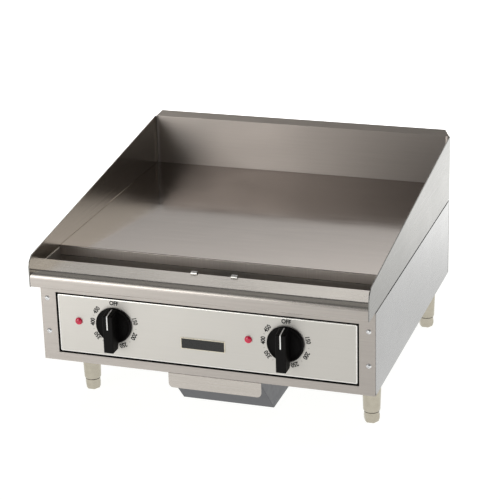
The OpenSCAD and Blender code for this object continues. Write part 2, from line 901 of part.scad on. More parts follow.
module clamp_studs() {
    color(zinc)
        for (sx = [-1, 1], y = bar_y, dx = clamp_dx)
            translate([sx * zone_x + dx, y, plate_z - stud_len])
                cylinder(r = stud_r, h = stud_len);
}

module clamp_nuts() {
    color(zinc)
        for (sx = [-1, 1], y = bar_y, dx = clamp_dx)
            nut_z([sx * zone_x + dx, y, bar_z - stud_nut_h], stud_nut_af, stud_nut_h, stud_r + running);
}

// Holes that the element's ends and the capillaries need on their way down.
module down_holes(z1, z2) {
    for (sx = [-1, 1]) {
        for (x = element_leg_x)
            translate([sx * zone_x + x, element_leg_y, z1])
                cylinder(r = tube_d / 2 + 2, h = z2 - z1);
        translate([sx * zone_x, bulb_y - 20, z1])
            cylinder(r = 4, h = z2 - z1);
    }
}

module insulation_blanket() {
    color(wool_cream)
        difference() {
            block([-support_x1 + 3, support_x1 - 3], [plate_y + 6 + sheet, back_y - 16], [wool_z1, wool_z2]);
            down_holes(wool_z1 - cut, wool_z2 + cut);
        }
}

module heat_baffle() {
    lip = 16;
    color(steel_dark)
        difference() {
            union() {
                block([-wall_x, wall_x], [plate_y + 6, back_y - 2 * sheet - 1], [baffle_z, wool_z1]);
                block([-support_x1 + 3, support_x1 - 3], [plate_y + 6, plate_y + 6 + sheet], [wool_z1, wool_z2]);
                for (side = [-1, 1])
                    block(span(side, wall_x - sheet, wall_x), [plate_y + 6, back_y - 2 * sheet - 1],
                        [baffle_z - lip, baffle_z]);
            }
            down_holes(baffle_z - cut, wool_z1 + cut);
        }
}

module sensing_bulb(side) {
    x = side * zone_x;
    k = side > 0 ? 1 : 0;
    z = plate_z - bulb_r - 0.2;
    stat_top = [knob_x[k], backplate_y + sheet + stat_d / 2, knob_level + stat_h / 2 + 2 * capillary_r];
    color("#b87350") {
        rod_y([x, bulb_y, z], bulb_r, bulb_len);
        tube_through([[x, bulb_y, z], [x, bulb_y - 14, z], [x, bulb_y - 20, z - 6], [x, bulb_y - 20, baffle_z - 8],
            [x, bulb_y - 26, baffle_z - 14], [stat_top[0], stat_top[1] + 40, baffle_z - 14], stat_top],
            capillary_r);
    }
}

// ---- Wiring ----

module terminal_block() {
    pole_count = 3;
    pole_pitch = block_size[0] / pole_count;
    x1 = entry_x - block_size[0] / 2;
    z1 = floor_z + sheet;
    color(phenolic)
        union() {
            block([x1, x1 + block_size[0]], [block_y, block_y + block_size[1]], [z1, z1 + block_size[2] - 10]);
            for (k = [0:pole_count])
                block([x1 + k * (block_size[0] - 2) / pole_count, x1 + k * (block_size[0] - 2) / pole_count + 2],
                    [block_y, block_y + block_size[1]], [z1 + block_size[2] - 10, z1 + block_size[2]]);
        }
}

module lead_wires() {
    wire_r = 2.5;
    low_z = floor_z + sheet + wire_r + 3;
    start = [entry_x - block_size[0] / 3, block_y - wire_r - 0.5, low_z];
    stat_y = backplate_y + sheet + stat_d + wire_r + 9;
    color("#c9503c")
        for (k = [0:1]) {
            side = k == 0 ? -1 : 1;
            first = start + [k * 14, 0, 0];
            terminal = [side * zone_x + element_leg_x[k], element_leg_y, terminal_z - 10 - wire_r - 0.5];
            tube_through([first, first + [0, -40, 0], [knob_x[k] + 30, stat_y + 60, low_z],
                [knob_x[k] + 12, stat_y, knob_level - 12]], wire_r);
            tube_through([[knob_x[k] + 12, stat_y, knob_level + 4], [knob_x[k] + 12, stat_y + 20, knob_level + 4],
                terminal], wire_r);
        }
}

base_pan();
side_panel(-1);  // left_side_panel
side_panel(1);  // right_side_panel
rear_panel();
front_frame();
control_panel();
control_backplate();
frame_screws();
rear_screws();
badge_plate();
supply_bushing();
leg(-1, 0);  // leg_front_left
leg(1, 0);  // leg_front_right
leg(-1, 1);  // leg_rear_left
leg(1, 1);  // leg_rear_right
foot(-1, 0);  // foot_front_left
foot(1, 0);  // foot_front_right
foot(-1, 1);  // foot_rear_left
foot(1, 1);  // foot_rear_right
leg_plates();
leg_nuts();
griddle_plate();
side_splash(-1);  // left_splash
side_splash(1);  // right_splash
back_splash();
front_rail();
grease_trough();
drain_chute();
drain_guard();
plate_support(-1);  // plate_support_left
plate_support(1);  // plate_support_right
grease_drawer();
drawer_pull();
drawer_runner(-1);  // drawer_runner_left
drawer_runner(1);  // drawer_runner_right
runner_screws();
knob(0);  // knob_left
knob(1);  // knob_right
thermostat_shaft(0);  // thermostat_shaft_left
thermostat_shaft(1);  // thermostat_shaft_right
thermostat(0);  // thermostat_left
thermostat(1);  // thermostat_right
thermostat_screws();
lamp_lens(0);  // lamp_lens_left
lamp_lens(1);  // lamp_lens_right
lamp_body(0);  // lamp_body_left
lamp_body(1);  // lamp_body_right
lamp_nuts();
heating_element(-1);  // heating_element_left
heating_element(1);  // heating_element_right
element_clamps();
clamp_studs();
clamp_nuts();
insulation_blanket();
heat_baffle();
sensing_bulb(-1);  // sensing_bulb_left
sensing_bulb(1);  // sensing_bulb_right
terminal_block();
lead_wires();
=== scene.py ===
"""Looks of a counter-top electric griddle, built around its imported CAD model.

Metres, +Z up, front of the griddle towards -Y. New pieces are numpy surfaces: closed
sections carried along a path, or outlines built up in levels. Every finish reads Object
coordinates, and every piece's object sits at the origin.
"""

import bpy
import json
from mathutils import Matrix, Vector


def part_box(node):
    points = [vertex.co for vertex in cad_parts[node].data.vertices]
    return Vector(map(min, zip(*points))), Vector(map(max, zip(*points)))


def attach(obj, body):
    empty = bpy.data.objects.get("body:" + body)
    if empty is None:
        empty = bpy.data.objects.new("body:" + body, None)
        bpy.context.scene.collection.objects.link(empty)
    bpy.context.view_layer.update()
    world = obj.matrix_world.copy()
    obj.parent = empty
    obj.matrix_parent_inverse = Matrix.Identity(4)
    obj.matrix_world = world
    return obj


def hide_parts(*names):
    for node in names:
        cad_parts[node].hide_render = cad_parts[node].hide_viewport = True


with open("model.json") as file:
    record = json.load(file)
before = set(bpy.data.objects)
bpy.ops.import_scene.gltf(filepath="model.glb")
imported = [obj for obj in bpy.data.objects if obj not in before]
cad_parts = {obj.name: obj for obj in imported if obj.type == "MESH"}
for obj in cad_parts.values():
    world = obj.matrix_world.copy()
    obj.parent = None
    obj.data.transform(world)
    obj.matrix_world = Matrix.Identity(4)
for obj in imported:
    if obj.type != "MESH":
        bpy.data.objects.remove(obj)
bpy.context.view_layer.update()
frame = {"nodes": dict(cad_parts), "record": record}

import json
import math

import bmesh
import bpy
import numpy as np
from mathutils import Matrix

MM = 0.001
TAU = 2 * math.pi


# ---------------------------------------------------------------- places, from the CAD

def span(node, axis):
    """Lowest and highest coordinate of a CAD node along axis 0, 1 or 2."""
    low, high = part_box(node)
    return low[axis], high[axis]


SIDE_X = span("right_side_panel", 0)[1]
FRONT_Y, _ = span("front_frame", 1)
FLOOR_Z = span("front_frame", 2)[0]
BACK_Y = span("left_splash", 1)[1]
RAIL_Y, LEDGE_Y = span("front_rail", 1)
LEDGE_Z = span("front_rail", 2)[1]
GUARD_Z = span("front_rail", 2)[0]
PLATE_Y = span("griddle_plate", 1)[0]
PLATE_Z, COOK_Z = span("griddle_plate", 2)
SPLASH_Z = span("left_splash", 2)[1]
GUARD_X = span("back_splash", 0)[1]
SPLASH_T = SIDE_X - GUARD_X
SPLASH_Y = BACK_Y - SPLASH_T
FLANGE_Y, FLANGE_Z = span("back_splash", 1)[1], span("back_splash", 2)[1]
PANEL_Y = span("control_panel", 1)[0]


# ---------------------------------------------------------------- meshes

def put_mesh(name, points, faces, body, node=None, finish=None, crease=35.0):
    """A mesh piece at the origin from an array of points and lists of corner numbers."""
    mesh = bpy.data.meshes.new(name)
    mesh.from_pydata(np.asarray(points, float).reshape(-1, 3).tolist(), [], faces)
    mesh.validate()
    return put_piece(name, mesh, body, node, finish, crease)


def put_piece(name, mesh, body, node=None, finish=None, crease=35.0):
    """Links a finished mesh, shades it smooth up to the crease angle and joins it to its body."""
    mesh.polygons.foreach_set("use_smooth", np.ones(len(mesh.polygons), bool))
    mesh.set_sharp_from_angle(angle=math.radians(crease))
    piece = bpy.data.objects.new(name, mesh)
    bpy.context.scene.collection.objects.link(piece)
    if finish:
        mesh.materials.clear()
        mesh.materials.append(finish)
    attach(piece, body)
    if node:
        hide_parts(*([node] if isinstance(node, str) else node))
    return piece


def ring_faces(rings, count, start=0, caps=True):
    """Corner numbers of the quads between closed rings of `count` points, with a cap at each end."""
    k, s = np.meshgrid(np.arange(rings - 1), np.arange(count), indexing="ij")
    e = (s + 1) % count
    quads = np.stack([k * count + s, k * count + e, (k + 1) * count + e, (k + 1) * count + s], -1)
    faces = (quads.reshape(-1, 4) + start).tolist()
    if caps:
        faces.append((start + np.arange(count)[::-1]).tolist())
        faces.append((start + (rings - 1) * count + np.arange(count)).tolist())
    return faces


def join_parts(parts):
    """Points and faces of several (rings, count) solids as one list, each solid closed."""
    points, faces, start = [], [], 0
    for rings in parts:
        rings = np.asarray(rings, float)
        faces += ring_faces(rings.shape[0], rings.shape[1], start)
        points.append(rings.reshape(-1, 3))
        start += rings.shape[0] * rings.shape[1]
    return np.concatenate(points), faces


def outward(parts):
    """Turns each stack of rings so that its faces point outwards: the signed volume is made positive."""
    turned = []
    for rings in parts:
        rings = np.asarray(rings, float)
        inner = rings.reshape(-1, 3).mean(0)
        a, b = rings[:-1] - inner, np.roll(rings, -1, 1)[:-1] - inner
        c = rings[1:] - inner
        volume = np.einsum("ijk,ijk->", np.cross(a, b), c)
        turned.append(rings if volume > 0 else rings[:, ::-1])
    return turned


def solid(name, parts, body, node=None, finish=None, crease=35.0):
    """One piece from one or more closed stacks of rings; its large flats keep flat normals."""
    points, faces = join_parts(outward(parts))
    piece = put_mesh(name, points, faces, body, node, finish, crease)
    flats = piece.modifiers.new("flat faces stay flat", "WEIGHTED_NORMAL")
    flats.mode = "FACE_AREA"
    flats.weight = 100
    flats.keep_sharp = True
    return piece


def arc(centre, radius, start, end, steps):
    """Points on a circle in a plane, from start to end in degrees."""
    a = np.radians(np.linspace(start, end, steps))
    return np.stack([centre[0] + radius * np.cos(a), centre[1] + radius * np.sin(a)], -1)


def rounded_outline(corners, radii, steps=6):
    """Closed outline through the corners, each replaced by an arc of its own radius."""
    corners = np.asarray(corners, float)
    radii = np.broadcast_to(radii, len(corners))
    before, after = np.roll(corners, 1, 0) - corners, np.roll(corners, -1, 0) - corners
    pieces = []
    for p, u, v, r in zip(corners, before, after, radii):
        u, v = u / np.linalg.norm(u), v / np.linalg.norm(v)
        half = math.acos(np.clip(u @ v, -1, 1)) / 2
        reach = r / math.tan(half)
        middle = (u + v) / np.linalg.norm(u + v)
        centre = p + middle * r / math.sin(half)
        a, b = p + u * reach - centre, p + v * reach - centre
        turn = math.atan2(a[0] * b[1] - a[1] * b[0], a @ b)
        t = np.linspace(0, turn, steps)
        pieces.append(centre + np.stack([a[0] * np.cos(t) - a[1] * np.sin(t),
                                         a[0] * np.sin(t) + a[1] * np.cos(t)], -1))
    return np.concatenate(pieces)


def shrunk(outline, inset):
    """Outline moved inwards by inset, each point along the mean normal of its two edges."""
    edge = np.roll(outline, -1, 0) - outline
    length = np.linalg.norm(edge, axis=1, keepdims=True)
    edge = np.where(length > 1e-9, edge / np.maximum(length, 1e-9), 0)
    normal = np.stack([edge[:, 1], -edge[:, 0]], -1)
    mean = normal + np.roll(normal, 1, 0)
    size = np.linalg.norm(mean, axis=1, keepdims=True)
    mean = mean / np.maximum(size, 1e-9)
    stretch = 1 / np.clip((mean * normal).sum(1, keepdims=True), 0.5, 1)
    area = np.sum(outline[:, 0] * np.roll(outline[:, 1], -1) - np.roll(outline[:, 0], -1) * outline[:, 1])
    return outline - np.sign(area) * inset * mean * stretch


def eased_levels(outline, low, high, ease_low, ease_high, steps=4):
    """Rings of an upright prism whose bottom and top edges are quarter rounds.

    At angle t the outline is inset by r(1 - cos t) and the level is r(1 - sin t) from the end.
    """
    t = np.linspace(0, math.pi / 2, steps + 1)
    rings = []
    for a in t[::-1]:
        rings.append((shrunk(outline, ease_low * (1 - math.cos(a))), low + ease_low * (1 - math.sin(a))))
    for a in t:
        rings.append((shrunk(outline, ease_high * (1 - math.cos(a))), high - ease_high * (1 - math.sin(a))))
    return np.stack([np.column_stack([o, np.full(len(o), z)]) for o, z in rings])


def facing_front(rings, place=(0, 0, 0)):
    """Turns rings built along +Z so that they grow towards the front, -Y, and moves them."""
    rings = np.asarray(rings, float)
    return np.stack([rings[..., 0], -rings[..., 2], rings[..., 1]], -1) + np.asarray(place, float)


def turned_profile(profile, sides=48):
    """Rings round the Z axis from (radius, height) pairs."""
    profile = np.asarray(profile, float)
    a = np.arange(sides) / sides * TAU
    r, z = profile[:, :1], profile[:, 1:]
    return np.stack([r * np.cos(a), r * np.sin(a), z + 0 * a], -1)


def thick_line(line, t):
    """Closed outline of a sheet whose outer side follows an open line, with the sheet on its right.

    Each inner point lies t away along the mean of the right-hand normals of its two stretches,
    lengthened by one over the cosine of half their turn.
    """
    line = np.asarray(line, float)
    step = np.diff(line, axis=0)
    step /= np.linalg.norm(step, axis=1, keepdims=True)
    right = np.stack([step[:, 1], -step[:, 0]], -1)
    right = np.concatenate([right[:1], right, right[-1:]])
    mean = right[1:] + right[:-1]
    mean /= np.linalg.norm(mean, axis=1, keepdims=True)
    inner = line + t * mean / np.clip((mean * right[1:]).sum(1, keepdims=True), 0.5, 1)
    return np.concatenate([line, inner[::-1]])


def bent_line(corners, radii, steps=7):
    """Open line through corners whose inner ones are arcs of the given radii."""
    corners = np.asarray(corners, float)
    closed = rounded_outline(corners, [1e-6] + list(radii) + [1e-6], steps)
    return closed[steps - 1:-(steps - 1)]


def along_x(outline, x0, x1, stations=2):
    """Carries a (y, z) outline along X from x0 to x1."""
    x = np.linspace(x0, x1, stations)
    return np.stack([np.column_stack([np.full(len(outline), v), outline]) for v in x])


def eased_copy(node, name, body, ease, finish, segments=2, crease=40.0):
    """A CAD node's own shape, merged into one skin, with its sharp edges eased.

    It is drawn in by 0.01 mm at its outermost faces, so that no eased corner leaves the CAD box.
    """
    mesh = frame["nodes"][node].data.copy()
    mesh.name = name
    work = bmesh.new()
    work.from_mesh(mesh)
    bmesh.ops.remove_doubles(work, verts=work.verts, dist=2e-6)
    bmesh.ops.dissolve_limit(work, angle_limit=math.radians(0.5), verts=work.verts, edges=work.edges)
    low, high = (np.array(corner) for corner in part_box(node))
    drawn_in = 0.01 * MM
    for vert in work.verts:
        vert.co = np.clip(vert.co, low + drawn_in, high - drawn_in)
    work.to_mesh(mesh)
    work.free()
    for spare in [a.name for a in mesh.attributes if a.name == "custom_normal"]:
        mesh.attributes.remove(mesh.attributes[spare])
    piece = put_piece(name, mesh, body, node, finish, crease)
    rounding = piece.modifiers.new("eased edges", "BEVEL")
    rounding.width = ease
    rounding.segments = segments
    rounding.limit_method = "ANGLE"
    rounding.angle_limit = math.radians(crease)
    rounding.harden_normals = True
    return piece


# ---------------------------------------------------------------- finishes

def linear(code):
    """Linear colour of an sRGB hex value: x/12.92 below 0.04045, else ((x + 0.055)/1.055)^2.4."""
    s = np.array([int(code[i:i + 2], 16) / 255 for i in (1, 3, 5)])
    low = s <= 0.04045
    return (*np.where(low, s / 12.92, ((s + 0.055) / 1.055) ** 2.4).tolist(), 1.0)


def add(tree, kind, inputs=None, **settings):
    """Adds a node, sets its properties, and gives each input a value or a link."""
    node = tree.nodes.new(kind)
    for key, value in settings.items():
        setattr(node, key, value)
    for key, value in (inputs or {}).items():
        if isinstance(value, bpy.types.NodeSocket):
            tree.links.new(value, node.inputs[key])
        else:
            node.inputs[key].default_value = value
    return node


def new_finish(name, **sockets):
    """A material with one Principled shader whose constant sockets are set here."""
    finish = bpy.data.materials.new(name)
    finish.use_nodes = True
    tree = finish.node_tree
    tree.nodes.clear()
    shader = add(tree, "ShaderNodeBsdfPrincipled")
    for key, value in sockets.items():
        shader.inputs[key.replace("_", " ")].default_value = value
    add(tree, "ShaderNodeOutputMaterial", {"Surface": shader.outputs[0]})
    return finish, tree, shader


def object_place(tree, scale=(1, 1, 1)):
    """Object coordinates, scaled per axis: a small scale along an axis draws lines along it."""
    place = add(tree, "ShaderNodeTexCoord")
    return add(tree, "ShaderNodeMapping", {"Vector": place.outputs["Object"], "Scale": scale}).outputs[0]


def two_tones(tree, factor, dark, light, low=0.3, high=0.7):
    """A colour ramp between two hex tones."""
    ramp = add(tree, "ShaderNodeValToRGB", {"Fac": factor})
    ramp.color_ramp.elements[0].position, ramp.color_ramp.elements[1].position = low, high
    ramp.color_ramp.elements[0].color, ramp.color_ramp.elements[1].color = linear(dark), linear(light)
    return ramp.outputs["Color"]


GRAIN = {"x": (0.02, 1, 1), "y": (1, 0.02, 1), "z": (1, 1, 0.02)}
ALONG = {"x": (1, 0, 0), "y": (0, 1, 0), "z": (0, 0, 1)}


def brushed_metal(name, dark, light, rough, grain, line=1.2, anisotropy=0.6, depth=0.02, cloud=0.02,
                  cloud_mm=90.0):
    """Metal with fine parallel lines: a noise stretched 50 times along the grain.

    Highlights spread across the lines, along the normal x the grain. line is the spacing of the
    lines in mm, and cloud the slow change in roughness across the sheet.
    """
    finish, tree, shader = new_finish(name, Metallic=1.0, Anisotropic=anisotropy)
    lines = add(tree, "ShaderNodeTexNoise", {"Vector": object_place(tree, GRAIN[grain]),
                                             "Scale": 1000 / line / 2, "Detail": 3.0, "Roughness": 0.6})
    patches = add(tree, "ShaderNodeTexNoise", {"Vector": object_place(tree), "Scale": 1000 / cloud_mm,
                                               "Detail": 2.0})
    tree.links.new(two_tones(tree, lines.outputs["Fac"], dark, light), shader.inputs["Base Color"])
    spread = add(tree, "ShaderNodeMapRange", {"Value": lines.outputs["Fac"], "From Min": 0.3, "From Max": 0.7,
                                              "To Min": rough - 0.04, "To Max": rough + 0.04})
    drift = add(tree, "ShaderNodeMapRange", {"Value": patches.outputs["Fac"], "From Min": 0.3,
                                             "From Max": 0.7, "To Min": -cloud, "To Max": cloud})
    total = add(tree, "ShaderNodeMath", {0: spread.outputs[0], 1: drift.outputs[0]}, operation="ADD")
    tree.links.new(total.outputs[0], shader.inputs["Roughness"])
    if anisotropy:
        facing = add(tree, "ShaderNodeNewGeometry")
        across = add(tree, "ShaderNodeVectorMath", {0: facing.outputs["Normal"], 1: ALONG[grain]},
                     operation="CROSS_PRODUCT")
        tree.links.new(across.outputs[0], shader.inputs["Tangent"])
    relief = add(tree, "ShaderNodeBump", {"Height": lines.outputs["Fac"], "Strength": depth,
                                          "Distance": 0.0005})
    tree.links.new(relief.outputs[0], shader.inputs["Normal"])
    return finish


def speckled(name, dark, light, rough, metallic=0.0, grit=0.8, depth=0.05, ior=1.5, spread=0.05, **sockets):
    """A plain moulded, cast or felted surface with a fine isotropic grit, its size in mm."""
    finish, tree, shader = new_finish(name, Metallic=metallic, **sockets)
    if not metallic:
        shader.inputs["IOR"].default_value = ior
    grains = add(tree, "ShaderNodeTexNoise", {"Vector": object_place(tree), "Scale": 1000 / grit / 2,
                                              "Detail": 3.0})
    tree.links.new(two_tones(tree, grains.outputs["Fac"], dark, light), shader.inputs["Base Color"])
    rough_range = add(tree, "ShaderNodeMapRange", {"Value": grains.outputs["Fac"], "From Min": 0.3,
                                                   "From Max": 0.7, "To Min": rough - spread,
                                                   "To Max": rough + spread})
    tree.links.new(rough_range.outputs[0], shader.inputs["Roughness"])
    relief = add(tree, "ShaderNodeBump", {"Height": grains.outputs["Fac"], "Strength": depth,
                                          "Distance": 0.0005})
    tree.links.new(relief.outputs[0], shader.inputs["Normal"])
    return finish


# Type 304 stainless sheet, belt-ground to a No. 4 finish: a broad sheen across the lines and a
# clear one along them. The real lines are 0.1 mm apart; they are drawn 1 mm apart to show.
steel_x = brushed_metal("stainless_no4_grain_x", "#a6a09b", "#ada7a2", 0.34, "x", line=1.0, anisotropy=0.75,
                        depth=0.006)
steel_y = brushed_metal("stainless_no4_grain_y", "#99999a", "#9f9fa0", 0.27, "y", line=1.0, anisotropy=0.5,
                        depth=0.001)
# Sheet of the rail and of the drawer's pull, handled and wiped until its lines are nearly gone.
steel_rail = brushed_metal("stainless_rail_wiped", "#b8b2ac", "#beb8b2", 0.25, "x", line=1.0, anisotropy=0.4,
                           depth=0.004)
# The same sheet inside the back guard, dulled by heat and scraping.
steel_inner = brushed_metal("stainless_no4_splash", "#b2aaa4", "#b8b0aa", 0.42, "x", line=1.0,
                            anisotropy=0.95, depth=0.004)
# Inside of the side guards: the same sheet, painted lighter than the guards' outside, a painted highlight on
# the inner faces.
guard_inside_painted_light = brushed_metal("guard_inside_sheet_painted_light", "#c8c2b8", "#cec8be", 0.22, "y", line=1.0,
                              anisotropy=0.3, depth=0.004)
# Outside of both side guards: the same sheet painted darker than the cabinet's side below them and than the
# guards' inside, a painted shade.
guard_outside_painted_shade = brushed_metal("guard_outside_sheet_painted_shade", "#7b7a78", "#81807e", 0.28, "y", line=1.0,
                              anisotropy=0.6, depth=0.004)
# Satin-finished panel sheet, finer than the rest, so that print stays legible on it.
satin_panel = brushed_metal("stainless_satin_panel", "#c0bdb8", "#c4c1bc", 0.46, "x", line=0.8,
                            anisotropy=0.6, depth=0.003)
# Milled sides of the plate: upright cutter marks.
milled_edge = brushed_metal("milled_steel_edge", "#d3cac3", "#e0d8d1", 0.6, "z", line=1.4, anisotropy=0.0,
                            depth=0.05)
# Sheet of the trough, dulled by heat and grease so that it scatters light.
dull_trough = brushed_metal("dulled_trough_sheet", "#bab4ae", "#c6c0ba", 0.5, "x", anisotropy=0.0, depth=0.02)
# Almost polished sheet of the small drain tabs and of the panel's round, painted lighter than the other
# sheet: a painted highlight on these bent edges.
painted_highlight_sheet = brushed_metal("bent_sheet_painted_highlight", "#dcdad6", "#ecebe8", 0.22, "x", anisotropy=0.2, depth=0.01)
# Ground steel plate: a warm grey with a softly blurred mirror image in it.
ground_plate = brushed_metal("ground_steel_plate", "#a19994", "#a59d98", 0.115, "x", line=1.2,
                             anisotropy=0.0, depth=0.001, cloud=0.012, cloud_mm=60)
# Aluminised steel inside the cabinet, of the drawer and of the drain chute: a soft spangle, and a dark
# blue-grey that partly paints the shade under the cabinet and inside the chute.
aluminised_and_shade = speckled("aluminised_steel_and_painted_shade", "#45464a", "#525357", 0.36, metallic=1.0, grit=6, depth=0.04)
# Nickel-plated die castings of the legs: warm, almost champagne, softly polished.
nickel = speckled("satin_nickel_plate", "#b0aa9c", "#b9b3a5", 0.20, metallic=1.0, grit=5, depth=0.01)
# Bright zinc-plated fasteners and fittings.
zinc = speckled("bright_zinc_plate", "#dfe0e2", "#ecedee", 0.34, metallic=1.0, grit=1.5, depth=0.03)
# Moulded black phenolic of the knobs: deep black-brown with a low broad gloss.
phenolic = speckled("moulded_black_phenolic", "#080707", "#0d0b0a", 0.46, grit=1.2, depth=0.06, ior=1.5,
                    Specular_IOR_Level=0.1)
# Near-black matte sheet that paints shade: the shadow in the gap round the panel and the dark inside of the
# relief holes. It gives back no light.
painted_shade_black = speckled("painted_shade_black_sheet", "#040404", "#080808", 0.9, grit=0.8, depth=0.1,
                      Specular_IOR_Level=0.1)
# Black moulded nylon of the small parts at the rear.
black_nylon = speckled("moulded_black_nylon", "#1a1a1a", "#242424", 0.5, grit=0.8, depth=0.08, ior=1.53)
# Red polycarbonate lens, lit a little from inside by its own colour.
red_lens = speckled("red_polycarbonate_lens", "#a80a33", "#c0143f", 0.18, grit=2.5, depth=0.02, ior=1.58,
                    Emission_Color=linear("#b00a34"), Emission_Strength=0.25)
# Pale moulded rim that holds the lens.
lens_rim = speckled("pale_lens_rim", "#d9b9b8", "#e6cfcc", 0.4, grit=1.0, depth=0.03)
# Printed foil of the plain badge: satin black inside a thin bare-metal border.
badge_black = speckled("printed_black_foil", "#0d0d0c", "#171615", 0.3, grit=0.7, depth=0.02)
badge_border = speckled("bare_foil_border", "#cdc6b4", "#ddd6c6", 0.3, metallic=1.0, grit=1.0, depth=0.02)
# Epoxy ink of the dial marks, and the filled white line in the knobs.
black_ink = speckled("black_epoxy_ink", "#060606", "#0b0b0b", 0.5, grit=0.5, depth=0.02,
                     Specular_IOR_Level=0.25)
white_fill = speckled("white_paint_fill", "#f6f4f0", "#ffffff", 0.5, grit=0.5, depth=0.02)
# Unglazed electrical ceramic of the controls inside.
ceramic = speckled("unglazed_ceramic", "#cfc7b8", "#ddd6c8", 0.7, grit=0.7, depth=0.06)
# Heat-tinted alloy sheath of the heating elements.
sheath = speckled("heat_tinted_sheath", "#2e2a28", "#453c37", 0.45, metallic=1.0, grit=4, depth=0.04)
# Mineral wool blanket, felted.
wool = speckled("mineral_wool_felt", "#a89a70", "#d2c69c", 0.95, grit=3.5, depth=0.5)
# Drawn copper of the sensing bulbs.
copper = speckled("drawn_copper", "#a8694a", "#c07e5c", 0.35, metallic=1.0, grit=2, depth=0.03)
# Extruded silicone sleeve of the wires.
wire_sleeve = speckled("silicone_sleeve", "#8a2014", "#9c2a1c", 0.6, grit=1.0, depth=0.04)

SLOT_FINISH = {
    "stainless_sheet": steel_x, "panel_sheet": satin_panel, "ground_plate": ground_plate,
    "aluminised_sheet": aluminised_and_shade, "nickel_fitting": nickel, "zinc_fastener": zinc,
    "black_phenolic": black_nylon, "badge_black": badge_black, "red_lens": red_lens, "ceramic": ceramic,
    "element_sheath": sheath, "mineral_wool": wool, "copper_tube": copper, "wire_insulation": wire_sleeve,
}
for part in frame["record"]["subparts"]:
    shown = frame["nodes"].get(part["node"])
    if shown:
        shown.data.materials.clear()
        shown.data.materials.append(SLOT_FINISH[part["material_slot"]])


# ---------------------------------------------------------------- cabinet

EASE = 0.5 * MM


def side_panel(side):
    """Side sheet with its flanges: a plan outline with bends of 3.4 mm at the front and 2.4 mm at
    the rear, carried upright, and one flat lip each inside its top and its bottom.

    The dark disc at the lower front corner is painted shade: a black disc for the shadowed inside of the
    relief hole where two bends meet.
    """
    sign = -1 if side == "left" else 1
    sheet, flange = 1.5 * MM, 20 * MM
    y0, y1 = span(side + "_side_panel", 1)
    z0, z1 = span(side + "_side_panel", 2)
    face_x = SIDE_X - 0.06 * MM
    line = bent_line([(SIDE_X - flange, y0), (face_x, y0), (face_x, y1), (SIDE_X - flange, y1)],
                     [3.4 * MM, 2.4 * MM], 7)
    section = thick_line(line[::-1], sheet)
    rings = np.stack([np.column_stack([sign * section[:, 0], section[:, 1], np.full(len(section), z)])
                      for z in (z0, z1)])
    inner, overlap = SIDE_X - sheet + 0.05 * MM, 3 * sheet
    lips = []
    for low, front in ((z1 - sheet, PLATE_Y + 5 * MM), (z0 + sheet, y0 + overlap)):
        edge = sorted((sign * (inner - flange), sign * inner))
        lips.append(np.stack([[(edge[0], front, z), (edge[1], front, z), (edge[1], y1 - overlap, z),
                               (edge[0], y1 - overlap, z)] for z in (low, low + sheet)]))
    solid("side_panel_" + side, [rings, *lips], "cabinet", side + "_side_panel", steel_y)
    a = np.arange(20) / 20 * TAU
    dot = [np.column_stack([np.full(20, sign * x), y0 + 2.4 * MM + 1.6 * MM * np.cos(a),
                            z0 + 2.2 * MM + 1.6 * MM * np.sin(a)]) for x in (SIDE_X - 1 * MM, SIDE_X)]
    # Near-black disc: painted shade for the inside of the relief hole.
    solid("relief_hole_painted_shade_" + side, [np.stack(dot)], "cabinet", None, painted_shade_black)


side_panel("left")
side_panel("right")
eased_copy("rear_panel", "rear_panel_sheet", "cabinet", EASE, steel_x)
eased_copy("front_frame", "front_frame_sheet", "cabinet", 0.6 * MM, steel_x, 3)


def control_panel():
    """Shallow pan in the window: a rectangle with small corner radii, its front edge a 1.6 mm round.

    The satin face stops 0.9 mm short of the round, which gets a lighter, glossier sheet as a
    painted highlight. A near-black strip in the gap round the pan is painted shade.
    """
    (x0, x1), (y0, y1), (z0, z1) = (span("control_panel", axis) for axis in range(3))
    slack = 0.9 * MM
    outline = rounded_outline([(x0 + slack, z0 + slack), (x1 - slack, z0 + slack),
                               (x1 - slack, z1 - slack), (x0 + slack, z1 - slack)], 2.6 * MM)
    rings = eased_levels(outline, -y1, -y0, 0.2 * MM, 1.6 * MM, 5)
    border = np.column_stack([shrunk(outline, 2.5 * MM), np.full(len(outline), -y0)])
    pan = solid("control_panel_pan", [facing_front(np.concatenate([rings, border[None]]))], "cabinet",
                "control_panel", satin_panel)
    # The round gets the lighter sheet of the drain tabs: a painted highlight along the pan's edge.
    pan.data.materials.append(painted_highlight_sheet)
    on_round = [len(p.vertices) == 4 for p in pan.data.polygons]
    pan.data.polygons.foreach_set("material_index", np.array(on_round, np.int32))
    gap, inner = shrunk(outline, -4.2 * MM), shrunk(outline, -0.1 * MM)
    level = [-y0 - 1.6 * MM, -y0 - 0.9 * MM]
    loops = [(gap, level[0]), (gap, level[1]), (inner, level[1]), (inner, level[0])]
    points = np.stack([np.column_stack([o, np.full(len(o), z)]) for o, z in loops])
    count = len(outline)
    faces = ring_faces(4, count, caps=False)
    faces += [(3 * count + i, 3 * count + (i + 1) % count, (i + 1) % count, i) for i in range(count)]
    # The near-black strip in the gap is painted shade.
    put_mesh("panel_gap_painted_shade", facing_front(points), faces, "cabinet", None, painted_shade_black)


def badge():
    """Thin plain badge: a metal border with the black field set on it inside a pin line."""
    (x0, x1), (y0, y1), (z0, z1) = (span("badge_plate", axis) for axis in range(3))

    def field(inset, low, high, ease):
        outline = rounded_outline([(x0 + inset, z0 + inset), (x1 - inset, z0 + inset),
                                   (x1 - inset, z1 - inset), (x0 + inset, z1 - inset)], 0.8 * MM, 4)
        return facing_front(eased_levels(outline, low, high, 0.05 * MM, ease, 3))

    solid("badge_rim", [field(0, -y1, -y0 - 0.15 * MM, 0.3 * MM)], "cabinet", "badge_plate",
          badge_border)
    solid("badge_field", [field(1.5 * MM, -y1 + 0.2 * MM, -y0, 0.1 * MM)], "cabinet", None,
          badge_black)


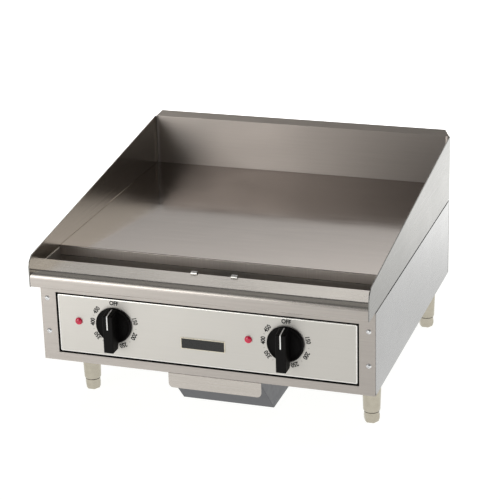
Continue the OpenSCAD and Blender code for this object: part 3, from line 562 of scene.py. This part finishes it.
def truss_head(place, outward_y, radius=4.6 * MM, height=2.3 * MM):
    """Screw head with a cross recess, as a height over a polar grid.

    The dome is h(1 - (r/R)^2.2); the cross lowers it where the point is within 0.55 mm of either
    arm, by up to 1.3 mm, fading out towards 2.7 mm from the middle.
    """
    sides, steps, cross_turn = 48, 16, 0.4
    a = np.arange(sides) / sides * TAU + cross_turn
    r = np.linspace(1, 0.02, steps)[:, None] * radius
    x, z = r * np.cos(a), r * np.sin(a)
    dome = height * (1 - (r / radius) ** 2.2) + 0 * a
    c, s = math.cos(cross_turn), math.sin(cross_turn)
    u, v = np.abs(x * c + z * s), np.abs(z * c - x * s)
    arm = np.clip(1.6 - np.minimum(u, v) / (0.55 * MM), 0, 1)
    recess = arm * np.clip((2.7 * MM - r) / (0.8 * MM), 0, 1) * 1.3 * MM
    level = np.concatenate([np.zeros((1, sides)), dome - recess])
    x, z = np.concatenate([x[:1], x]), np.concatenate([z[:1], z])
    return np.stack([x + place[0], place[1] + outward_y * level, z + place[2]], -1)


def cabinet_screws():
    """The four screws of the front frame and the four of the rear panel."""
    for node, name, way in (("frame_screws", "frame_screw_heads", -1),
                            ("rear_screws", "rear_screw_heads", 1)):
        co = np.array([v.co for v in frame["nodes"][node].data.vertices])
        face = co[:, 1].min() if way < 0 else co[:, 1].max()
        level = face - way * 2.4 * MM
        heads = []
        for sx in (-1, 1):
            on_side = co[np.sign(co[:, 0]) == sx]
            x = (on_side[:, 0].min() + on_side[:, 0].max()) / 2
            middle = on_side[:, 2].mean()
            for part in (on_side[on_side[:, 2] < middle], on_side[on_side[:, 2] >= middle]):
                z = (part[:, 2].min() + part[:, 2].max()) / 2
                heads.append(truss_head((x, level, z), way))
        solid(name, heads, "cabinet", node, zinc)


def supply_bushing():
    """Snap-in bushing in the rear panel: a turned collar with a rounded flange."""
    (x0, x1), (y0, y1), (z0, z1) = (span("supply_bushing", axis) for axis in range(3))
    radius, bore, depth = (x1 - x0) / 2, 11 * MM, y1 - y0
    profile = [(bore, 0), (bore + 1.2 * MM, 0), (radius - 3.2 * MM, 0.8 * MM), (radius - 2.6 * MM, 1.6 * MM),
               (radius - 2.6 * MM, depth - 3 * MM), (radius - 0.4 * MM, depth - 3 * MM),
               (radius, depth - 2.4 * MM), (radius - 0.3 * MM, depth - 1.0 * MM),
               (radius - 1.4 * MM, depth - 0.2 * MM), (bore + 1 * MM, depth), (bore, depth - 0.8 * MM)]
    a = np.arange(48) / 48 * TAU
    section = np.asarray(profile)
    ring = np.stack([np.stack([r * np.cos(a), y + 0 * a, r * np.sin(a)], -1) for r, y in section])
    points = ring + np.array([(x0 + x1) / 2, y0, (z0 + z1) / 2])
    count = len(a)
    faces = ring_faces(len(section), count, caps=False)
    last = (len(section) - 1) * count
    faces += [(last + i, last + (i + 1) % count, (i + 1) % count, i) for i in range(count)]
    put_mesh("supply_bushing_collar", points, [f[::-1] for f in faces], "cabinet", "supply_bushing",
             black_nylon)


control_panel()
badge()
cabinet_screws()
supply_bushing()


# ---------------------------------------------------------------- top: plate, splash guards, rail, trough

CORNER_R = 8 * MM
SEAM_TURN = 42


def griddle_plate():
    """Ground plate: its top edge is a 1.4 mm round, and its sides are milled."""
    (x0, x1), (y0, y1) = span("griddle_plate", 0), span("griddle_plate", 1)
    outline = rounded_outline([(x0, y0), (x1, y0), (x1, y1), (x0, y1)], 1.8 * MM, 4)
    piece = solid("griddle_plate_ground", [eased_levels(outline, PLATE_Z, COOK_Z, 0.8 * MM, 1.4 * MM, 5)],
                  "cabinet", "griddle_plate", ground_plate)
    piece.data.materials.append(milled_edge)
    upright = [abs(p.normal.z) < 0.35 for p in piece.data.polygons]
    piece.data.polygons.foreach_set("material_index", np.array(upright, np.int32))


def back_splash():
    """Back guard: a sheet bent back at its top, carried along X.

    Towards each end the sheet turns forward on an arc of 8 mm as far as 42 degrees, where the seam
    to the side guard is, and the leaning flange is cut on a mitre: its half length is the guard's
    less its height above the bend.
    """
    low = span("back_splash", 2)[0]
    lean_end = (FLANGE_Y, FLANGE_Z + (SPLASH_Y - BACK_Y) * 0.3)
    line = bent_line([(SPLASH_Y, low), (SPLASH_Y, SPLASH_Z), lean_end], [2.6 * MM], 9)
    outline = thick_line(line, SPLASH_T * 0.9)
    turn = np.radians(np.linspace(0, SEAM_TURN, 7))
    half = [(GUARD_X - CORNER_R - 1 * MM, 0.0)]
    half += [(GUARD_X - CORNER_R + CORNER_R * math.sin(t), CORNER_R * (1 - math.cos(t))) for t in turn]
    half += [(half[-1][0] + 0.15 * MM, -0.6 * MM), (GUARD_X, -0.6 * MM)]
    stations = [(-x, y) for x, y in half[::-1]] + [(x, y) for x, y in half]
    bent = outline[:, 1] <= SPLASH_Z - 2 * MM
    rings = []
    for x, forward in stations:
        reach = np.minimum(abs(x), GUARD_X - np.maximum(outline[:, 1] - SPLASH_Z + 1 * MM, 0))
        y = outline[:, 0] - np.where(bent & (outline[:, 0] < SPLASH_Y + 0.3 * MM), forward, 0)
        z = np.minimum(outline[:, 1], FLANGE_Z)
        rings.append(np.column_stack([np.sign(x) * reach, np.minimum(y, FLANGE_Y), z]))
    solid("splash_back", [rings], "cabinet", "back_splash", steel_inner)


def side_splash(side):
    """Side guard, carried along Y: an upright strip whose top follows the guard's slope.

    The top edge is a half round of the sheet's thickness. Near the back the inner face curves in
    towards the back guard on an arc of 8 mm, and stops at the seam.
    """
    sign = -1 if side == "left" else 1
    (y0, y1), (z0, z1) = span(side + "_splash", 1), span(side + "_splash", 2)
    tip = 51 * MM
    tip_z = COOK_Z + 25 * MM
    corners = [(y0, z0), (y0, tip_z - 18 * MM), (y0 + 3 * MM, tip_z - 9 * MM),
               (y0 + 14 * MM, tip_z), (y1, z1), (y1 + tip, z0)]
    knee = rounded_outline(corners, np.array([0.1, 4, 5, 5, 0.1, 0.1]) * MM, 6)
    rise = knee[(knee[:, 0] <= y1) & (knee[:, 1] > z0 + 1 * MM)]
    rise = rise[np.argsort(rise[:, 0])]
    turn = np.radians(np.linspace(0, SEAM_TURN, 7))
    bends = [(SPLASH_Y - CORNER_R + CORNER_R * math.sin(t), CORNER_R * (1 - math.cos(t))) for t in turn]
    groove = bends[-1][0] + 0.15 * MM
    y = np.unique(np.concatenate([rise[:, 0], np.linspace(y0 + 20 * MM, SPLASH_Y - CORNER_R, 12)]))
    y = y[y < SPLASH_Y - CORNER_R]
    stations = [(v, 0.0) for v in y] + bends + [(groove, -0.5 * MM), (y1, -0.5 * MM)]
    rings = []
    for v, inward in stations:
        top = np.interp(v, rise[:, 0], rise[:, 1])
        cap = np.radians(np.linspace(0, 180, 7))
        inner, outer = GUARD_X - inward, SIDE_X
        mid, half = (inner + outer) / 2, (outer - inner) / 2
        x = np.concatenate([[outer], mid + half * np.cos(cap), [inner]])
        z = np.concatenate([[z0], top - 1 * MM + 1 * MM * np.sin(cap), [z0]])
        rings.append(np.column_stack([sign * x, np.full(len(x), v), z]))
    guard = solid("splash_" + side, [rings], "cabinet", side + "_splash", guard_inside_painted_light)
    # The guard's inside and outside are one sheet painted lighter and darker: painted light and shade.
    guard.data.materials.append(guard_outside_painted_shade)
    outside = [sign * p.normal.x > -0.5 for p in guard.data.polygons]
    guard.data.polygons.foreach_set("material_index", np.array(outside, np.int32))


def front_rail():
    """Rail and ledge: one sheet with a lower lip, an upright face, a 14 mm nose, the ledge and a rear lip."""
    lower, nose, rear = 14 * MM, 14 * MM, 11 * MM
    x0, x1 = span("front_rail", 0)
    line = bent_line([(RAIL_Y + lower, GUARD_Z), (RAIL_Y, GUARD_Z), (RAIL_Y, LEDGE_Z), (LEDGE_Y, LEDGE_Z),
                      (LEDGE_Y, LEDGE_Z - rear)], [2.4 * MM, nose, 2.0 * MM], 13)
    rail = solid("front_rail_sheet", [along_x(thick_line(line, 1.9 * MM), x0, x1)], "cabinet", "front_rail",
                 steel_rail, 30)
    rail.data.materials.append(steel_x)
    upright = [p.normal.y < -0.97 for p in rail.data.polygons]
    rail.data.polygons.foreach_set("material_index", np.array(upright, np.int32))


def drain_tabs():
    """Drain guard: an upright strip with two tabs that curl over the ledge's rear edge.

    Each tab's section is a circle arc of 3.1 mm radius that leaves the strip upwards, passes over
    the edge and comes down on the ledge; the sheet is 1.1 mm thick.
    """
    (x0, x1), (y0, y1), (z0, z1) = (span("drain_guard", axis) for axis in range(3))
    back = y1
    radius = (z1 - LEDGE_Z) * 0.95
    curl = arc((back - radius, z1 - radius), radius, 0, 205, 18)
    line = np.concatenate([[(back, LEDGE_Z - 6 * MM)], curl])[::-1]
    tabs = [along_x(thick_line(line, 1.1 * MM), a, b) for a, b in ((x0, x0 + 11 * MM), (x1 - 11 * MM, x1))]
    strip = thick_line([(back - 1.2 * MM, z0), (back - 1.2 * MM, LEDGE_Z - 4 * MM)], 1.1 * MM)
    # The tabs' light sheet is a painted highlight on their bent edges.
    solid("drain_guard_tabs", [*tabs, along_x(strip, x0, x1)], "cabinet", "drain_guard",
          painted_highlight_sheet)


griddle_plate()
back_splash()
side_splash("left")
side_splash("right")
front_rail()
drain_tabs()
eased_copy("grease_trough", "trough", "cabinet", EASE, dull_trough)
# The chute's dark sheet is partly painted shade inside the open chute.
eased_copy("drain_chute", "drain_chute_sheet", "cabinet", EASE, aluminised_and_shade)


# ---------------------------------------------------------------- drawer

# The drawer's dark blue-grey sheet is partly painted shade under the cabinet.
eased_copy("grease_drawer", "drawer_box", "drawer_unit", EASE, aluminised_and_shade)


def drawer_pull():
    """Pull tab: a sheet with two rounded lower corners, its hemmed rim drawn as quarter rounds of 0.5 mm at
    the back and 0.6 mm at the front.
    """
    (x0, x1), (y0, y1), (z0, z1) = (span("drawer_pull", axis) for axis in range(3))
    outline = rounded_outline([(x0, z0), (x1, z0), (x1, z1), (x0, z1)], np.array([8, 8, 0.4, 0.4]) * MM, 9)
    solid("drawer_pull_tab", [facing_front(eased_levels(outline, -y1, -y0, 0.5 * MM, 0.6 * MM, 4))],
          "drawer_unit", "drawer_pull", steel_rail)


drawer_pull()


# ---------------------------------------------------------------- knobs, dials and lamps

def knob_centre(side):
    """Axis of a knob in x and z, and the plane of its back."""
    low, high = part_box("knob_" + side)
    shaft_low, shaft_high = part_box("thermostat_shaft_" + side)
    return (shaft_low[0] + shaft_high[0]) / 2, high[1], (shaft_low[2] + shaft_high[2]) / 2


def grip_levels():
    """Grip bar as outlines stacked from the skirt to its front face.

    Its width narrows by 1.2 mm and its head slopes from 31.5 mm to 27.8 mm from the axis. The tail
    stays within the skirt for 7 mm, then reaches 42 mm. The last 1.3 mm is a quarter round.
    """
    half, low, high, ease = 9.6 * MM, 0.2 * MM, 29.6 * MM, 1.3 * MM
    rings = []
    for z in (low, 6.5 * MM, 8.5 * MM, 14 * MM, 22 * MM, high - ease):
        t = z / high
        top = np.interp(z, [5 * MM, high], [31.5 * MM, 27.8 * MM])
        tail = np.interp(z, [6.5 * MM, 8.5 * MM, high], [32 * MM, 41.4 * MM, 42 * MM])
        w = half - 0.6 * MM * t
        rings.append((rounded_outline([(-w, -tail), (w, -tail), (w, top), (-w, top)],
                                      [1.6 * MM, 1.6 * MM, 2.2 * MM, 2.2 * MM], 5), z))
    for a in np.radians([30, 60, 90]):
        rings.append((shrunk(rings[5][0], ease * (1 - math.cos(a))), high - ease + ease * math.sin(a)))
    return np.stack([np.column_stack([o, np.full(len(o), z)]) for o, z in rings])


def knob(side):
    """Knob: a turned skirt with a raised rim and a dished face, the grip bar and a filled white line."""
    x, back, z = knob_centre(side)
    body = side + "_knob_unit"
    skirt = np.array([(30.5, 0.0), (32.6, 0.3), (33.0, 1.0), (33.0, 3.0), (32.5, 4.2), (31.6, 4.9),
                      (30.6, 5.0), (29.8, 4.6), (27.5, 3.4), (22.0, 2.7), (12.0, 2.4), (0.3, 2.4)]) * MM
    parts = [facing_front(turned_profile(skirt, 72), (x, back, z)),
             facing_front(grip_levels(), (x, back, z))]
    solid("knob_body_" + side, parts, body, "knob_" + side, phenolic, 40)
    path = [(2.5, 29.62), (26.6, 29.62), (27.9, 28.5), (31.4, 5.6)]
    line = thick_line(np.array(path)[::-1] * MM, 0.5 * MM)
    ribbon = along_x(line, -1.0 * MM, 1.0 * MM)
    ribbon = np.stack([ribbon[..., 0] + x, back - ribbon[..., 2] - 0.06 * MM, ribbon[..., 1] + z], -1)
    solid("knob_line_" + side, [ribbon], body, None, white_fill)


def written(text, height):
    """Points and faces of a short word in the plain built-in face, narrowed and centred, as a thin solid."""
    curve = bpy.data.curves.new("mark", "FONT")
    curve.body, curve.size, curve.extrude = text, height / 0.69, 0.03 * MM
    curve.align_x, curve.align_y = "CENTER", "CENTER"
    curve.resolution_u = 4
    curve.offset = height * 0.055
    holder = bpy.data.objects.new("mark", curve)
    bpy.context.scene.collection.objects.link(holder)
    mesh = bpy.data.meshes.new_from_object(holder.evaluated_get(bpy.context.evaluated_depsgraph_get()))
    co = np.array([v.co for v in mesh.vertices])
    faces = [tuple(p.vertices) for p in mesh.polygons]
    bpy.data.objects.remove(holder)
    bpy.data.curves.remove(curve)
    bpy.data.meshes.remove(mesh)
    middle = (co.max(0) + co.min(0)) / 2
    return (co - np.array([middle[0], middle[1], 0])) * np.array([0.86, 1, 1]), faces


def dial_print(side):
    """Dial marks round a knob: each word is turned so that its foot is towards the axis.

    A mark at angle a clockwise from the top sits at (r sin a, r cos a) and is turned by -a. Short
    strokes stand half-way between the numbers.
    """
    x, _, z = knob_centre(side)
    marks = [("OFF", 2), ("150", 76), ("200", 117), ("250", 158), ("300", 196), ("350", 234), ("400", 272),
             ("450", 307)]
    radius, size = 40.8 * MM, 7.7 * MM
    stroke = np.array([(-0.25, -1.2, 0), (0.25, -1.2, 0), (0.25, 1.2, 0), (-0.25, 1.2, 0),
                       (-0.25, -1.2, 0.06), (0.25, -1.2, 0.06), (0.25, 1.2, 0.06), (-0.25, 1.2, 0.06)]) * MM
    stroke_faces = [(3, 2, 1, 0), (4, 5, 6, 7), (0, 1, 5, 4), (1, 2, 6, 5), (2, 3, 7, 6), (3, 0, 4, 7)]
    items = [(*written(text, size), angle) for text, angle in marks]
    items += [(stroke, stroke_faces, angle) for angle in (96, 137, 177, 215, 253, 290)]
    points, faces, start = [], [], 0
    for co, corners, angle in items:
        a = math.radians(angle)
        u = co[:, 0] * math.cos(a) + co[:, 1] * math.sin(a) + radius * math.sin(a)
        v = -co[:, 0] * math.sin(a) + co[:, 1] * math.cos(a) + radius * math.cos(a)
        points.append(np.stack([x + u, PANEL_Y - 0.04 * MM - co[:, 2], z + v], -1))
        faces += [tuple(start + i for i in f) for f in corners]
        start += len(co)
    put_mesh("dial_print_" + side, np.concatenate(points), faces, "cabinet", None, black_ink)


def pilot_lamp(side):
    """Pilot lamp: a thin pale rim and a domed red lens, both turned."""
    (x0, x1), (y0, y1), (z0, z1) = (span("lamp_lens_" + side, axis) for axis in range(3))
    place = ((x0 + x1) / 2, PANEL_Y, (z0 + z1) / 2)
    radius, high = (x1 - x0) / 2, y1 - y0
    t = np.linspace(0, math.pi / 2 * 0.97, 8)
    lens = [(radius, 0.0)] + list(zip(radius * np.cos(t), high * 0.35 + high * 0.63 * np.sin(t)))
    rim = np.array([(radius * 0.9, 0.0), (radius * 1.12, 0.0), (radius * 1.13, 0.2 * MM),
                    (radius * 1.10, 0.5 * MM), (radius * 1.04, 0.6 * MM), (radius * 0.95, 0.5 * MM)])
    solid("lamp_lens_dome_" + side, [facing_front(turned_profile(lens, 40), place)], "cabinet",
          "lamp_lens_" + side, red_lens)
    solid("lamp_rim_" + side, [facing_front(turned_profile(rim, 40), place)], "cabinet", None,
          lens_rim)


for side in ("left", "right"):
    knob(side)
    dial_print(side)
    pilot_lamp(side)


# ---------------------------------------------------------------- legs

def leg(place):
    """Cast leg, turned: a taper of 2.4 mm from the cabinet down to a chamfer above the foot."""
    (x0, x1), (y0, y1), (z0, z1) = (span("leg_" + place, axis) for axis in range(3))
    r = (x1 - x0) / 2
    profile = np.array([(r - 6.0 * MM, z0), (r - 4.6 * MM, z0 + 0.4 * MM), (r - 2.9 * MM, z0 + 2.6 * MM),
                        (r - 2.5 * MM, z0 + 4.0 * MM), (r - 2.4 * MM, z0 + 6 * MM),
                        (r - 1.0 * MM, z0 + 50 * MM), (r - 0.1 * MM, FLOOR_Z - 2 * MM),
                        (r, FLOOR_Z - 0.6 * MM), (r - 0.4 * MM, FLOOR_Z)])
    stack = turned_profile(profile, 64) + np.array([(x0 + x1) / 2, (y0 + y1) / 2, 0])
    solid("leg_cast_" + place, [stack], "cabinet", "leg_" + place, nickel)


def foot(place):
    """Levelling foot: a tapered hexagon whose corners are turned off above and rounded below.

    The ring at each height is the hexagon's radius, (across/2)/cos(angle from the nearest flat's
    middle), limited by the turned radius at that height.
    """
    (x0, x1), (y0, y1), (z0, z1) = (span("foot_" + place, axis) for axis in range(3))
    sides = 72
    a = np.arange(sides) / sides * TAU + math.radians(14)
    flat = min(y1 - y0, x1 - x0) / 2
    hexagon = 1 / np.cos(a % (math.pi / 3) - math.pi / 6)
    levels = [(0.0, 3.6, 1.6), (0.8, 2.4, 1.0), (2.2, 1.5, 0.3), (5.0, 1.2, 1.2), (9.0, 0.9, 1.3),
              (13.5, 0.5, 0.7), (15.0, 0.4, 0.0), (19.9, 0.4, 0.0)]
    stack = []
    for height, inset, reach in levels:
        r = np.minimum((flat - inset * MM) * hexagon, flat - inset * MM + reach * MM)
        stack.append(np.stack([r * np.cos(a), r * np.sin(a), np.full(sides, z0 + height * MM)], -1))
    stem = turned_profile([(4.2 * MM, z0 + 19 * MM), (4.9 * MM, z0 + 20 * MM), (4.9 * MM, z1 - 1 * MM),
                           (4.0 * MM, z1)], 32)
    centre = np.array([(x0 + x1) / 2, (y0 + y1) / 2, 0])
    solid("foot_hex_" + place, [np.stack(stack) + centre, stem + centre], "foot_%s_unit" % place,
          "foot_" + place, nickel, 28)


for place in ("front_left", "front_right", "rear_left", "rear_right"):
    leg(place)
    foot(place)


# ---------------------------------------------------------------- camera and light

def camera_axes(yaw, pitch, roll):
    """Right, up and backward directions of a camera turned left by yaw, down by pitch, then rolled."""
    forward = np.array([-math.sin(yaw) * math.cos(pitch), math.cos(yaw) * math.cos(pitch), -math.sin(pitch)])
    level = np.array([math.cos(yaw), math.sin(yaw), 0.0])
    rise = np.cross(level, forward)
    right = math.cos(roll) * level + math.sin(roll) * rise
    up = -math.sin(roll) * level + math.cos(roll) * rise
    return right, up, -forward


def place_camera():
    """A long lens in front of the griddle, to its right and above it."""
    data = bpy.data.cameras.new("studio_camera")
    data.sensor_width = 36.0
    data.lens = 126.22
    data.clip_end = 60
    camera = bpy.data.objects.new("studio_camera", data)
    bpy.context.scene.collection.objects.link(camera)
    right, up, back = camera_axes(math.radians(18.608), math.radians(21.006), math.radians(-1.532))
    at = (0.9648, FRONT_Y - 2.6044, FLOOR_Z + 1.3004)
    camera.matrix_world = Matrix([(right[i], up[i], back[i], at[i]) for i in range(3)] + [(0, 0, 0, 1)])
    bpy.context.scene.camera = camera


def stage_card(name, corners, finish):
    """A flat card of the studio from its four corners."""
    mesh = bpy.data.meshes.new(name)
    mesh.from_pydata(corners, [], [(0, 1, 2, 3)])
    mesh.materials.append(finish)
    card = bpy.data.objects.new(name, mesh)
    bpy.context.scene.collection.objects.link(card)


def paper(name, glow):
    """Seamless studio paper: matte grey under its own light; glow(tree, place) gives its strength."""
    finish, tree, shader = new_finish(name, Roughness=0.95, Emission_Color=linear("#fffffd"),
                                      Base_Color=linear("#7c7c7a"))
    tree.links.new(glow(tree, object_place(tree)), shader.inputs["Emission Strength"])
    return finish


def ramp(tree, value, start, end, low, high):
    """Smooth change from low to high while a value goes from start to end."""
    return add(tree, "ShaderNodeMapRange", {"Value": value, "From Min": start, "From Max": end, "To Min": low,
                                            "To Max": high}, interpolation_type="SMOOTHSTEP").outputs[0]


def floor_glow(tree, place):
    """White under and around the griddle, and brighter a metre away, most of all behind it."""
    away = add(tree, "ShaderNodeVectorMath", {0: place, 1: (0.15, -0.15, 0)}, operation="DISTANCE")
    along = add(tree, "ShaderNodeSeparateXYZ", {"Vector": place})
    round_it = ramp(tree, away.outputs["Value"], 0.5, 1.3, 0.97, 1.3)
    behind = ramp(tree, along.outputs["Y"], 0.45, 1.1, 1.0, 1.3)
    return add(tree, "ShaderNodeMath", {0: round_it, 1: behind}, operation="MULTIPLY").outputs[0]


def rear_glow(tree, place):
    """Brighter towards the right and upwards."""
    across = add(tree, "ShaderNodeSeparateXYZ", {"Vector": place})
    left = ramp(tree, across.outputs["X"], -3.6, -0.3, 0.55, 1.3)
    low = ramp(tree, across.outputs["Z"], 1.95, 2.65, 0.42, 1.25)
    return add(tree, "ShaderNodeMath", {0: left, 1: low}, operation="MULTIPLY").outputs[0]


def front_glow(tree, place):
    """A bright area at the left that fades upwards, and a dark right."""
    across = add(tree, "ShaderNodeSeparateXYZ", {"Vector": place})
    left = ramp(tree, across.outputs["X"], -1.85, -1.16, 1.0, 0.05)
    low = ramp(tree, across.outputs["Z"], 0.6, 4.2, 4.0, 0.2)
    return add(tree, "ShaderNodeMath", {0: left, 1: low}, operation="MULTIPLY").outputs[0]


def ceiling_glow(tree, place):
    """Almost dark."""
    across = add(tree, "ShaderNodeSeparateXYZ", {"Vector": place})
    return ramp(tree, across.outputs["X"], -4, 4, 0.09, 0.07)


def light_studio():
    """Floor, wall behind, a bright area at the front left, dark air and a soft light overhead."""
    stage_card("studio_floor", [(-9, -9, 0), (9, -9, 0), (9, 9, 0), (-9, 9, 0)],
               paper("studio_paper_floor", floor_glow))
    stage_card("studio_wall", [(6, 4.6, 0), (-6, 4.6, 0), (-6, 4.6, 3.6), (6, 4.6, 3.6)],
               paper("studio_paper_wall", rear_glow))
    stage_card("studio_front", [(-6, -5, 0), (-0.8, -5, 0), (-0.8, -5, 5.2), (-6, -5, 5.2)],
               paper("studio_paper_front", front_glow))
    stage_card("studio_ceiling", [(-3.2, -3.6, 5.4), (-3.2, 2.4, 5.4), (3.2, 2.4, 5.4), (3.2, -3.6, 5.4)],
               paper("studio_dark_ceiling", ceiling_glow))
    world = bpy.data.worlds.new("studio_air")
    bpy.context.scene.world = world
    world.use_nodes = True
    world.node_tree.nodes["Background"].inputs["Color"].default_value = linear("#f6f6fa")
    world.node_tree.nodes["Background"].inputs["Strength"].default_value = 0.13
    data = bpy.data.lights.new("right_top_light", "AREA")
    data.shape, data.size, data.size_y, data.energy = "RECTANGLE", 1.4, 1.0, 14.0
    lamp = bpy.data.objects.new("right_top_light", data)
    bpy.context.scene.collection.objects.link(lamp)
    lamp.matrix_world = Matrix.Translation((2.2, 0.2, 3.4)) @ Matrix.Rotation(math.radians(33), 4, "Y")
    bpy.context.scene.view_settings.view_transform = "Standard"


place_camera()
light_studio()
